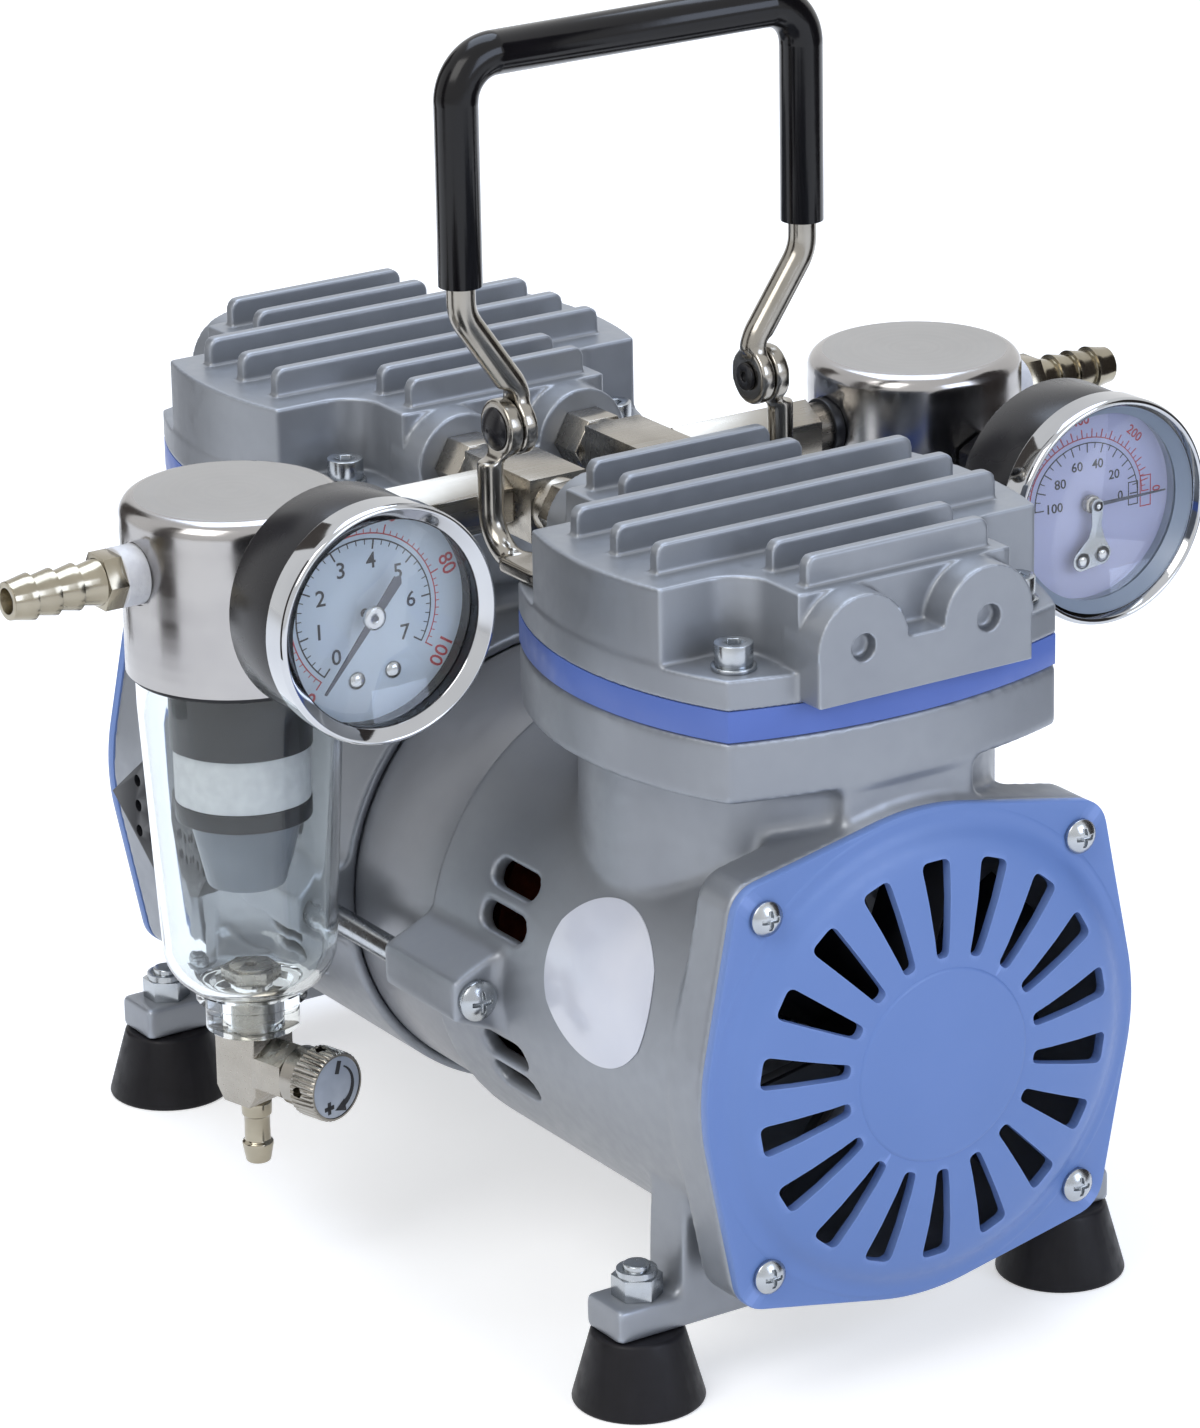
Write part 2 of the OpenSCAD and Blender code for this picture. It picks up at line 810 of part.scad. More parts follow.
module manifold_bars() {
    color(nickel) both_sides() difference() {
        union() {
            translate([-bar_end_x, port_y - bar_half, manifold_z - bar_half])
                cube([2 * bar_end_x, 2 * bar_half, 2 * bar_half]);
            along_x(-hex_start_x, port_y, manifold_z) cylinder(r = 7, h = 2 * hex_start_x);
        }
        along_x(-hex_start_x - 1, port_y, manifold_z) cylinder(r = 3.5, h = 2 * hex_start_x + 2);
        both_ends() along_x(bar_end_x - 2, port_y, manifold_z)
            cylinder(r = thread_r + skin, h = 10);
        along_y(port_y, 0, manifold_z) cylinder(r = thread_r + skin, h = 10);
    }
}

module hex_nipples() {
    hex_length = port_face_x - hex_start_x;
    color(nickel) both_ends() both_sides() along_x(hex_start_x, port_y, manifold_z)
        difference() {
            union() {
                rotate(30) hex_bar(14, hex_length);
                translate([0, 0, -4]) cylinder(r = thread_r, h = hex_length + 12);
            }
            translate([0, 0, -5]) cylinder(r = 3.5, h = 40);
        }
}

module cross_bars() {
    start_y = port_y + bar_half;
    hex_end_y = trap_y - cap_r - 6;
    color(nickel) both_sides() difference() {
        union() {
            along_y(start_y, 0, manifold_z) rotate(30) hex_bar(13.5, hex_end_y - start_y);
            along_y(hex_end_y - 1, 0, manifold_z) cylinder(r = 6.2, h = 5);
            along_y(start_y - 5, 0, manifold_z) cylinder(r = thread_r, h = trap_y - cap_r - start_y + 13);
        }
        along_y(start_y - 8, 0, manifold_z) cylinder(r = 3.5, h = 80);
    }
}

module seal_rings() {
    color(black) both_sides() {
        translate([0, trap_y, cap_bottom_z - 1.2]) tube(24.6, 22.1, 1.2);
        along_y(trap_y - cap_r - 2, 0, manifold_z) tube(7, thread_r + skin, 2.6);
    }
}

// Places children at the axis of the right-hand trap
module at_trap() {
    translate([0, trap_y, 0]) children();
}

// Threaded port for a gauge in the +X side of one cap
module gauge_port(side, center_z) {
    along_x(cap_r - 9.5, side * trap_y, center_z) cylinder(r = stem_r + skin, h = 20);
    along_x(0.5, side * trap_y, center_z) cylinder(r = 2, h = 30);
}

// Cap of the right-hand trap
module cap() {
    edge_r = 4;
    difference() {
        at_trap() rotate_extrude() {
            translate([0, cap_bottom_z]) square([cap_r, cap_top_z - edge_r - cap_bottom_z]);
            translate([0, cap_bottom_z]) square([cap_r - edge_r, cap_top_z - cap_bottom_z]);
            intersection() {
                translate([cap_r - edge_r, cap_top_z - edge_r]) circle(edge_r);
                translate([0, cap_top_z - edge_r]) square([cap_r, edge_r]);
            }
        }
        at_trap() translate([0, 0, cap_bottom_z - 1]) {
            cylinder(r = 22 + fit, h = 8.2);
            cylinder(r = 6 + skin, h = 20);
            cylinder(r = 4.2, h = 34);
            tube(20, 10, 20);
        }
        along_y(trap_y - cap_r - 1, 0, manifold_z) {
            cylinder(r = thread_r + fit, h = 12);
            cylinder(r = 7.3, h = 1.6);
        }
        along_y(trap_y + 0.5, 0, barb_z) cylinder(r = 3.5, h = 40);
        along_y(trap_y + 14, 0, barb_z) cylinder(r = stem_r + skin, h = 20);
        along_y(trap_y + cap_r - 0.6, 0, barb_z) cylinder(r = 7.3, h = 5);
    }
}

module filter_caps() {
    color(steel) {
        difference() {
            mirror([0, 1, 0]) cap();
            gauge_port(-1, pressure_z);
        }
        difference() {
            cap();
            gauge_port(1, vacuum_z);
        }
    }
}

// Half section of the bowl, moved inwards by an inset
module bowl_profile(inset) {
    low_z = bowl_neck_z + 9 + bowl_round_r;
    polygon([
        [0, low_z], [bowl_low_r - inset, low_z], [bowl_top_r - inset, 141],
        [bowl_top_r - inset, cap_bottom_z - 1.2], [0, cap_bottom_z - 1.2]
    ]);
    intersection() {
        translate([bowl_low_r - bowl_round_r, low_z]) circle(bowl_round_r - inset);
        translate([0, low_z - 20]) square([40, 20]);
    }
    translate([0, low_z - bowl_round_r + inset])
        square([bowl_low_r - bowl_round_r, bowl_round_r - inset]);
}

module filter_bowls() {
    color(pale) both_sides() at_trap() difference() {
        union() {
            rotate_extrude() bowl_profile(0);
            translate([0, 0, bowl_neck_z]) cylinder(r = 10.8, h = 12);
            translate([0, 0, bowl_neck_z + 7]) cylinder(r = 12.8, h = 3);
            translate([0, 0, 140]) cylinder(r = 22, h = 17);
        }
        rotate_extrude() bowl_profile(bowl_wall);
        translate([0, 0, 140]) cylinder(r = bowl_top_r - bowl_wall - 1.5, h = 20);
        translate([0, 0, bowl_neck_z - 1]) cylinder(r = stem_r + fit, h = 20);
    }
}

module filter_holders() {
    color(black) both_sides() at_trap() difference() {
        union() {
            translate([0, 0, 132]) cylinder(r = 16, h = 17.5);
            translate([0, 0, 149]) cylinder(r = 6, h = 17);
            translate([0, 0, 112]) cylinder(r = 5, h = 21);
        }
        translate([0, 0, 125]) cylinder(r = 3, h = 50);
        both_sides() translate([0, 3, 126]) rotate([-90, 0, 0]) cylinder(r = 1.5, h = 5, center = true);
    }
}

module filter_elements() {
    color(pale) both_sides() at_trap() translate([0, 0, 119]) tube(15.3, stem_r + 0.2, 13);
}

module filter_baffles() {
    color(black) both_sides() at_trap() difference() {
        union() {
            translate([0, 0, 114.5]) cylinder(r = 15.5, h = 4.5);
            translate([0, 0, 98]) cylinder(r1 = 9, r2 = 13, h = 17);
        }
        translate([0, 0, 108]) cylinder(r = stem_r + fit, h = 20);
        translate([0, 0, 97]) cylinder(r = 6.5, h = 11.01);
    }
}

// Frame of the right-hand drain valve: z of the children points along its knob
module at_drain() {
    translate([0, trap_y, drain_z]) rotate(-knob_turn) rotate([0, 90, 0]) children();
}

module drain_bodies() {
    color(nickel) both_sides() {
        difference() {
            union() {
                translate([0, trap_y, 44]) rotate(-knob_turn)
                    plate_y(-drain_half, 2 * drain_half) polygon([
                        [-drain_half + 2.2, 0], [drain_half - 2.2, 0],
                        [drain_half, 3.4], [drain_half, bowl_neck_z - 44],
                        [-drain_half, bowl_neck_z - 44], [-drain_half, 3.4]
                    ]);
                at_trap() translate([0, 0, bowl_neck_z - 1]) cylinder(r = stem_r, h = 16);
                at_drain() translate([0, 0, drain_half - 1]) hex_bar(12.6, 9);
            }
            at_trap() translate([0, 0, drain_z]) cylinder(r = 1.5, h = 30);
            at_trap() translate([0, 0, 43]) cylinder(r = 3 + skin, h = 5);
            at_trap() translate([0, 0, 43]) cylinder(r = 1.5, h = 12);
            at_drain() cylinder(r = 2 + fit, h = 30);
        }
        at_trap() translate([0, 0, bowl_neck_z + 9 + bowl_wall]) difference() {
            hex_bar(12, 3.5);
            translate([0, 0, -1]) cylinder(r = stem_r + skin, h = 6);
        }
    }
}

// Knurled drain knob with its needle, in the drain frame
module drain_knob() {
    difference() {
        union() {
            translate([0, 0, drain_half + 8.3]) cylinder(r = 7.3, h = 12);
            translate([0, 0, 1.8]) cylinder(r = 2, h = 14);
            for (rib = [0 : 11.25 : 354])
                rotate(rib) translate([6.9, -0.35, drain_half + 8.8]) cube([0.6, 0.7, 11]);
        }
        translate([0, 0, drain_half + 19.9]) cylinder(r = 6.2, h = 2);
        for (turn = [0, 90])
            rotate(turn) translate([0, 9, drain_half + 14]) rotate([90, 0, 0])
                cylinder(r = 1.4, h = 18);
    }
}

module drain_knob_left() {
    color(nickel) mirror([0, 1, 0]) at_drain() drain_knob();
}

module drain_knob_right() {
    color(nickel) at_drain() drain_knob();
}

module drain_barbs() {
    color(nickel) both_sides() at_trap() difference() {
        union() {
            translate([0, 0, 25]) cylinder(r = 2.85, h = 20);
            translate([0, 0, 42]) cylinder(r = 3.6, h = 2);
            translate([0, 0, 43]) cylinder(r = 3, h = 4.5);
            for (ridge_z = [26, 30, 34])
                translate([0, 0, ridge_z]) cylinder(r1 = 2.85, r2 = 3.5, h = 2.6);
        }
        translate([0, 0, 20]) cylinder(r = 1.5, h = 40);
    }
}

module hose_barbs() {
    face_y = trap_y + cap_r;
    ridge_length = (barb_end_y - face_y - 9.5) / 4;
    color(nickel) both_sides() difference() {
        union() {
            along_y(face_y - 11, 0, barb_z) cylinder(r = stem_r, h = 17);
            along_y(face_y + 5, 0, barb_z) hex_bar(12, 4.5);
            along_y(face_y + 9, 0, barb_z) cylinder(r = 4.4, h = barb_end_y - face_y - 9.2);
            for (ridge = [0 : 3])
                along_y(face_y + 9.5 + ridge * ridge_length, 0, barb_z)
                    cylinder(r1 = 5.4, r2 = 4.3, h = ridge_length);
        }
        along_y(face_y - 15, 0, barb_z) cylinder(r = 3, h = 60);
    }
}

module thread_tape() {
    color(pale) both_sides()
        along_y(trap_y + cap_r - 0.6, 0, barb_z) tube(6.9, stem_r + skin, 5.6);
}

// Places children at each gauge: first at its dial plane, z of the children along +X
module at_gauges() {
    along_x(pressure_dial_x, -gauge_y, pressure_z) children();
    along_x(vacuum_dial_x, gauge_y, vacuum_z) children();
}

// Case and stem of one gauge, back_x is where the case starts
module gauge_case(dial_x, side, center_z) {
    back_x = dial_x - 16.3;
    difference() {
        union() {
            along_x(back_x, side * gauge_y, center_z) cylinder(r = case_r, h = 17.8);
            along_x(cap_r - 9, side * trap_y, center_z) cylinder(r = stem_r, h = back_x - cap_r + 10);
            along_x(cap_r + 0.5, side * trap_y, center_z) hex_bar(12, back_x - cap_r);
        }
        along_x(back_x + 2, side * gauge_y, center_z) cylinder(r = case_r - 1.5, h = 20);
        along_x(0, side * trap_y, center_z) cylinder(r = 1.5, h = back_x + 5);
    }
}

module gauge_cases() {
    color(black) {
        gauge_case(pressure_dial_x, -1, pressure_z);
        gauge_case(vacuum_dial_x, 1, vacuum_z);
    }
}

module gauge_bezels() {
    color(steel) at_gauges() rotate_extrude() {
        polygon([
            [case_r + skin, -3], [bezel_r, -3], [bezel_r, 5], [bezel_r - 1.5, 7],
            [bezel_r - 2.3, 7], [24, 3.6], [24, 3], [case_r + skin, 3]
        ]);
    }
}

module gauge_lenses() {
    color(pale) at_gauges() translate([0, 0, 1.5]) cylinder(r = case_r - 0.1, h = 1.5);
}

module gauge_dials() {
    color(pale) at_gauges() difference() {
        translate([0, 0, -0.8]) cylinder(r = case_r - 1.5 - skin, h = 0.8);
        translate([0, 0, -2]) cylinder(r = 1, h = 4);
    }
}

// Pointer of one gauge, turned clockwise from the top as seen from the dial side
module pointer(clockwise) {
    rotate(clockwise) translate([0, 0, 0.5]) {
        cylinder(r = 2.6, h = 0.8);
        translate([0, 0, -3]) cylinder(r = 0.7, h = 3.3);
        linear_extrude(0.4) polygon([[1.2, -0.9], [1.2, 0.9], [-19.5, 0.25], [-19.5, -0.25]]);
        linear_extrude(0.4) polygon([[-1, -0.9], [9.4, -1.2], [10.6, 0], [9.4, 1.2], [-1, 0.9]]);
    }
}

module pressure_pointer() {
    color(black) along_x(pressure_dial_x, -gauge_y, pressure_z) pointer(140);
}

module vacuum_pointer() {
    color(black) along_x(vacuum_dial_x, gauge_y, vacuum_z) pointer(-90);
}

module gauge_links() {
    color(steel) {
        at_gauges() for (y = [-4.3, 4.3])
            translate([14, y, 0]) cylinder(r = 2, h = 1.1);
        along_x(vacuum_dial_x, gauge_y, vacuum_z) linear_extrude(0.3) polygon([
            [3, -1.6], [3, 1.6], [7.4, 2.3], [11, 6.6], [16.8, 6.6],
            [16.8, -6.6], [11, -6.6], [7.4, -2.3]
        ]);
    }
}

module bourdon_tubes() {
    color(nickel) at_gauges() rotate(60) {
        translate([0, 0, -8]) rotate_extrude(angle = 240) translate([17, 0]) circle(1.6);
        translate([17, 0, -14.3]) cylinder(r = 3, h = 6.3);
    }
}

// Oval made of three round arcs
module oval() {
    intersection() {
        circle(20.5);
        translate([0, 5.35]) circle(23.35);
        translate([0, -5.35]) circle(23.35);
    }
}

module side_label() {
    color(pale) intersection() {
        along_x(60) tube(wall_r + 0.25, wall_r + skin, 60);
        translate([87, 0, 91.5]) plate_y(-70, 40) oval();
    }
}

// Outline of the perforated cover, seen from the left
module vent_outline(inset) {
    polygon([
        [-115 + 1.6 * inset, axis_z + 0.7], [-95 + 0.5 * inset, axis_z + 16.2 - inset],
        [-83 - 0.5 * inset, axis_z + 16.2 - inset], [-63 - 1.6 * inset, axis_z + 0.7],
        [-87 - 0.5 * inset, axis_z - 17.3 + inset], [-91 + 0.5 * inset, axis_z - 17.3 + inset]
    ]);
}

module vent_cover() {
    color(black) difference() {
        plate_y(-66, 16) vent_outline(0);
        plate_y(-64, 16) vent_outline(2);
        along_x(-125) cylinder(r = wall_r + skin, h = 80);
        for (x = [-102.0 : 6.5 : -76], z = [-6.5, 0, 6.5])
            along_y(-68, x, axis_z + 0.7 + z) cylinder(r = 1.5, h = 6);
    }
}

module cord_gland() {
    color(black) at_gland() difference() {
        union() {
            translate([0, 0, 0.4]) hex_bar(15, 5);
            translate([0, 0, -5]) cylinder(r = 5.1, h = 14);
        }
        translate([0, 0, -6]) cylinder(r = 3.6, h = 20);
    }
}

near_crankcase();
far_crankcase();
motor_shell();
label_band();
stator_core();
windings();
rotor_core();
shaft();
shaft_bearings();
eccentrics();
connecting_rod_near();
connecting_rod_far();
piston_seal_near();
piston_seal_far();
cylinder_sleeves();
valve_plates();
reed_valves();
near_head();
far_head();
head_screws();
head_washers();
fans();
near_fan_cover();
far_fan_cover();
cover_screws();
tie_rods();
tie_rod_nuts();
rubber_feet();
foot_studs();
foot_nuts();
handle_rod();
handle_grip();
handle_rivets();
handle_brackets();
manifold_bars();
hex_nipples();
cross_bars();
seal_rings();
filter_caps();
filter_bowls();
filter_holders();
filter_elements();
filter_baffles();
drain_bodies();
drain_knob_left();
drain_knob_right();
drain_barbs();
hose_barbs();
thread_tape();
gauge_cases();
gauge_bezels();
gauge_lenses();
gauge_dials();
pressure_pointer();
vacuum_pointer();
gauge_links();
bourdon_tubes();
side_label();
vent_cover();
cord_gland();
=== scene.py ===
"""Bench vacuum pump with two heads in line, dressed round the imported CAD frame.

Every size is in millimetres in the CAD frame and turned to metres where a mesh is made.
"""

import json
import logging
import math
from collections.abc import Callable, Iterable, Sequence
from dataclasses import dataclass
from enum import Enum
from typing import ClassVar

import bmesh
import bpy
import numpy as np
from mathutils import Matrix, Vector

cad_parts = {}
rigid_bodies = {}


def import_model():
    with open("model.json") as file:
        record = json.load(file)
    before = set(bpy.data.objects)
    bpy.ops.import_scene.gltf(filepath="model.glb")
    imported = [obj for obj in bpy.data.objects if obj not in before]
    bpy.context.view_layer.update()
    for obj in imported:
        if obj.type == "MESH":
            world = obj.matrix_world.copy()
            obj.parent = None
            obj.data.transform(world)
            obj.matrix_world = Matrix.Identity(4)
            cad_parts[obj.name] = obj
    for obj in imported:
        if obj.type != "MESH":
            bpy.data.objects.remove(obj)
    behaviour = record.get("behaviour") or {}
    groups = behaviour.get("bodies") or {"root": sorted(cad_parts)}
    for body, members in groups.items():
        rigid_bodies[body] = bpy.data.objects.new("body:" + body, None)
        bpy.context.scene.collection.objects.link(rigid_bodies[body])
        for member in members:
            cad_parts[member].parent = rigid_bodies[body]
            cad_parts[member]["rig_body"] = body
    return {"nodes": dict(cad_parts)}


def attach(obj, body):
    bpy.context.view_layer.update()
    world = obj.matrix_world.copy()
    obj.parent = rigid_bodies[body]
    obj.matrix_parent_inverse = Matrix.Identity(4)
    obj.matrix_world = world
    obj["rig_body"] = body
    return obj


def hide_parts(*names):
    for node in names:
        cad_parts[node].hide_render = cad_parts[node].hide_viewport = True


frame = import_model()

MM = 0.001
WELD = 0.002  # corners of a CAD mesh nearer than this are one
FLAT = 1.5  # degrees between the triangles of one flat face
ON_AXIS = 1e-6
SHAFT_Z = 77.3
OUTWARDS = (1, 0, 0)  # the way the gauges face
UPWARDS = (0, 0, 1)
SIDES = ((-1, "left"), (1, "right"))
log = logging.getLogger("vacuum_pump")

Point = tuple[float, float, float]
Spot = tuple[float, float]
Outline = Sequence[Spot]
Ripple = Callable[[float, float, float], float]


# Colours and nodes


def linear(colour: str) -> tuple[float, float, float, float]:
    """Turns an sRGB hex colour into linear red, green, blue and alpha.

    Args:
        colour: six hex digits after a hash.

    Returns:
        The four numbers that Blender's colour sockets take.
    """
    channels = [int(colour[i:i + 2], 16) / 255 for i in (1, 3, 5)]
    light = [c / 12.92 if c <= 0.04045 else ((c + 0.055) / 1.055) ** 2.4 for c in channels]
    return (light[0], light[1], light[2], 1.0)


def add(tree: bpy.types.NodeTree, kind: str, settings: dict | None = None,
        links: dict | None = None) -> bpy.types.Node:
    """Adds one shader node.

    Args:
        tree: the material's node tree.
        kind: the node's type name after "ShaderNode".
        settings: attributes by name, or input values by socket name or number.
        links: output sockets by the name or number of the input they feed.

    Returns:
        The new node.
    """
    node = tree.nodes.new("ShaderNode" + kind)
    for key, value in (settings or {}).items():
        if isinstance(key, str) and hasattr(node, key):
            setattr(node, key, value)
        else:
            node.inputs[key].default_value = value
    for key, source in (links or {}).items():
        tree.links.new(source, node.inputs[key])
    return node


def bare_tree(owner: bpy.types.Material | bpy.types.World) -> bpy.types.NodeTree:
    """Turns on the nodes of a material or world and empties its tree."""
    owner.use_nodes = True
    owner.node_tree.nodes.clear()
    return owner.node_tree


def seen_rays(tree: bpy.types.NodeTree) -> bpy.types.NodeSocket:
    """One where the eye, glass or polished metal looks at a surface, and nothing elsewhere."""
    rays = add(tree, "LightPath")
    seen = add(tree, "Math", {"operation": "MAXIMUM"},
               {0: rays.outputs["Is Camera Ray"], 1: rays.outputs["Is Transmission Ray"]})
    return add(tree, "Math", {"operation": "MAXIMUM"},
               {0: seen.outputs[0], 1: rays.outputs["Is Glossy Ray"]}).outputs[0]


class Grain(Enum):
    """Which way a surface's fine marks run."""

    EVEN = (1.0, 1.0, 1.0)
    ALONG_Y = (1.0, 0.06, 1.0)
    ALONG_Z = (1.0, 1.0, 0.06)
    ROUND_Y = (1.0, 0.0, 1.0)
    ROUND_Z = (1.0, 1.0, 0.0)


@dataclass(frozen=True)
class Finish:
    """One real material with the way its surface was made."""

    name: str
    colour: str
    drift: str = ""
    drift_mm: float = 30.0
    metallic: float = 0.0
    roughness: float = 0.5
    rough_swing: float = 0.06
    grain_mm: float = 0.8
    relief_mm: float = 0.0
    grain: Grain = Grain.EVEN
    center: Point = (0.0, 0.0, 0.0)
    # colour mixed into sharp edges by pointiness: a painted highlight
    edge: str = ""
    clear: float = 0.0
    ior: float = 0.0
    coat: float = 0.0
    coat_rough: float = 0.1
    aniso: float = 0.0
    gloss: float = 0.5

    def material(self) -> bpy.types.Material:
        """Makes the node material, or returns the one made before."""
        made = bpy.data.materials.get(self.name)
        if made:
            return made
        made = bpy.data.materials.new(self.name)
        tree = bare_tree(made)
        shader = add(tree, "BsdfPrincipled", {
            "Metallic": self.metallic, "Transmission Weight": self.clear,
            "Coat Weight": self.coat, "Coat Roughness": self.coat_rough,
            "Anisotropic": self.aniso, "Specular IOR Level": self.gloss,
        })
        if self.ior:
            shader.inputs["IOR"].default_value = self.ior
        add(tree, "OutputMaterial", {}, {"Surface": shader.outputs[0]})
        place = self._place(tree)
        self._colour(tree, shader, place)
        self._surface(tree, shader, place)
        return made

    def _place(self, tree: bpy.types.NodeTree) -> bpy.types.NodeSocket:
        """Object position in metres from the finish's centre, with both sides of the pump alike."""
        here = add(tree, "TexCoord").outputs["Object"]
        here = add(tree, "VectorMath", {"operation": "ABSOLUTE"}, {0: here}).outputs[0]
        center = tuple(c * MM for c in self.center)
        return add(tree, "VectorMath", {"operation": "SUBTRACT", 1: center}, {0: here}).outputs[0]

    def _pattern(self, tree: bpy.types.NodeTree, place: bpy.types.NodeSocket,
                 size_mm: float, detail: float) -> bpy.types.NodeSocket:
        """Noise with features of about size_mm that follows the way the surface was made.

        Args:
            tree: the material's node tree.
            place: position in metres.
            size_mm: real size of one feature across its run.
            detail: number of finer octaves.

        Returns:
            The noise's factor.
        """
        scale = 1 / (size_mm * MM)
        weights = self.grain.value
        if 0.0 in weights:
            kept = add(tree, "VectorMath", {"operation": "MULTIPLY", 1: weights}, {0: place})
            reach = add(tree, "VectorMath", {"operation": "LENGTH"}, {0: kept.outputs[0]})
            axis = weights.index(0.0)
            split = add(tree, "SeparateXYZ", {}, {0: place})
            deep = add(tree, "Math", {"operation": "MULTIPLY", 1: 0.35}, {0: split.outputs[axis]})
            both = add(tree, "Math", {"operation": "ADD"},
                       {0: reach.outputs["Value"], 1: deep.outputs[0]})
            return add(tree, "TexNoise", {"noise_dimensions": "1D", "Scale": scale,
                                          "Detail": detail}, {"W": both.outputs[0]}).outputs["Fac"]
        run = add(tree, "VectorMath", {"operation": "MULTIPLY", 1: weights}, {0: place})
        return add(tree, "TexNoise", {"Scale": scale, "Detail": detail},
                   {"Vector": run.outputs[0]}).outputs["Fac"]

    def _colour(self, tree: bpy.types.NodeTree, shader: bpy.types.Node,
                place: bpy.types.NodeSocket) -> None:
        """Base colour: the main colour, drifting slowly to a second one, paler on sharp edges as a
        painted highlight.
        """
        if not self.drift:
            shader.inputs["Base Color"].default_value = linear(self.colour)
            return
        cloud = add(tree, "TexNoise", {"Scale": 1 / (self.drift_mm * MM), "Detail": 3.0},
                    {"Vector": place})
        spread = add(tree, "MapRange", {"From Min": 0.35, "From Max": 0.65},
                     {"Value": cloud.outputs["Fac"]})
        mixed = add(tree, "Mix", {"data_type": "RGBA", 6: linear(self.colour),
                                  7: linear(self.drift)}, {0: spread.outputs[0]}).outputs[2]
        # sharp edges found by pointiness get the edge colour: a painted highlight
        if self.edge:
            point = add(tree, "NewGeometry").outputs["Pointiness"]
            sharp = add(tree, "MapRange", {"From Min": 0.52, "From Max": 0.60}, {"Value": point})
            mixed = add(tree, "Mix", {"data_type": "RGBA", 7: linear(self.edge)},
                        {0: sharp.outputs[0], 6: mixed}).outputs[2]
        tree.links.new(mixed, shader.inputs["Base Color"])

    def _surface(self, tree: bpy.types.NodeTree, shader: bpy.types.Node,
                 place: bpy.types.NodeSocket) -> None:
        """Roughness that swings with the grain, and the grain's own relief."""
        low, high = self.roughness - self.rough_swing, self.roughness + self.rough_swing
        coarse = self._pattern(tree, place, self.grain_mm * 4, 2.0)
        rough = add(tree, "MapRange", {"From Min": 0.3, "From Max": 0.7,
                                       "To Min": max(low, 0.02), "To Max": high},
                    {"Value": coarse})
        tree.links.new(rough.outputs[0], shader.inputs["Roughness"])
        if self.relief_mm:
            fine = self._pattern(tree, place, self.grain_mm, 3.0)
            bump = add(tree, "Bump", {"Strength": 1.0, "Distance": self.relief_mm * MM},
                       {"Height": fine})
            tree.links.new(bump.outputs[0], shader.inputs["Normal"])


# Die-cast aluminium under silver enamel: a fine orange peel and aluminium flake soften every glint;
# its paler sharp edges are a painted highlight
SILVER = Finish("silver_enamel_on_die_casting", "#91959b", "#8b8f96", 45, 0.55, 0.42, 0.05,
                0.9, 0.007, edge="#b4bcc9", coat=0.1, coat_rough=0.25)
# Injection-moulded ABS: fine spark-eroded grain that spreads the highlight over the dome; its paler
# sharp edges are a painted highlight
BLUE_ABS = Finish("blue_moulded_abs", "#6a87c3", "#6583be", 60, 0.0, 0.40, 0.05, 0.5, 0.008,
                  edge="#7f9ad6", ior=1.53, gloss=0.4)
# Powder coat on a machined plate: even and saturated, with a slight orange peel
BLUE_PLATE = Finish("blue_powder_coat", "#5c75be", "#566fb8", 25, 0.0, 0.38, 0.05, 0.8, 0.01,
                    ior=1.5, gloss=0.35)
# Cold-rolled steel shell, painted silver: smoother than the castings
SHELL = Finish("silver_paint_on_rolled_steel", "#9598a0", "#8f929a", 50, 0.6, 0.34, 0.05,
               1.2, 0.006, coat=0.1, coat_rough=0.2)
# Brushed polyester label film: pale, satin, with a faint run round the motor
WRAP_FILM = Finish("silver_polyester_label_film", "#9a9ca1", "#94969b", 30, 0.35, 0.36, 0.04,
                   0.6, 0.003, Grain.ALONG_Y)
# White gloss label vinyl under clear film
OVAL_FILM = Finish("white_gloss_label_vinyl", "#dcdfea", "#d5d9e6", 20, 0.0, 0.22, 0.03,
                   1.0, 0.002, ior=1.5, coat=0.4, coat_rough=0.06)
# Silicon steel stampings: dark, with the stack's lines across the shaft
LAMINATION = Finish("stamped_silicon_steel", "#4c4b4a", "#3f3c3a", 8, 0.8, 0.5, 0.08,
                    0.5, 0.03)
# Enamelled copper wire, varnished: red-brown and glossy in the vent slots
COPPER = Finish("varnished_copper_wire", "#7a3a20", "#5c2a18", 6, 0.7, 0.32, 0.08, 0.8, 0.12,
                Grain.ALONG_Y)
# Turned and ground steel: bright and even, with marks too fine to tell apart
STEEL = Finish("ground_steel", "#8f9091", "#7f8082", 12, 1.0, 0.28, 0.06, 0.3, 0.004)
# Zinc electroplate, clear passivated: bluish, slightly cloudy
ZINC = Finish("blue_zinc_plate", "#b4b8bb", "#a4a9af", 6, 1.0, 0.24, 0.05, 0.8, 0.0015)
# Anodised cylinder sleeve, hard and dark
SLEEVE = Finish("hard_anodised_aluminium", "#55575a", "#4b4d50", 10, 0.7, 0.35, 0.05)
# Sand-textured die-cast connecting rod, bare
ROD_CAST = Finish("bare_die_cast_aluminium", "#8c8e90", "#7f8184", 9, 0.9, 0.45, 0.08, 0.7, 0.02)
# Carbon-filled PTFE: soft dark sheen
PTFE = Finish("carbon_filled_ptfe", "#2c2b2a", "#343230", 4, 0.0, 0.4, 0.06)
# Moulded natural rubber: near black, satin, faintly bloomed; its paler sharp edges are a painted
# highlight
RUBBER = Finish("moulded_black_rubber", "#161518", "#1d1c20", 12, 0.0, 0.45, 0.08, 0.7, 0.012,
                edge="#2c2b30", gloss=0.2)
# Dipped vinyl sleeve: glossy black, long soft waves from the dip
VINYL = Finish("dipped_black_vinyl", "#0c0b0d", "#111013", 20, 0.0, 0.16, 0.04, 9.0, 0.05,
               gloss=0.28)
# Nickel electroplate over machined brass: warm, with drawn marks along the bars
NICKEL = Finish("nickel_plate_on_brass", "#a39e95", "#979289", 14, 1.0, 0.27, 0.05, 0.5, 0.002,
                Grain.ALONG_Y)
# Turned nickel-plated brass: rings round the hose axis
NICKEL_TURNED = Finish("turned_nickel_on_brass", "#a59e8d", "#979080", 9, 1.0, 0.2, 0.05,
                       0.4, 0.002, Grain.ROUND_Y, (0, 0, 176))
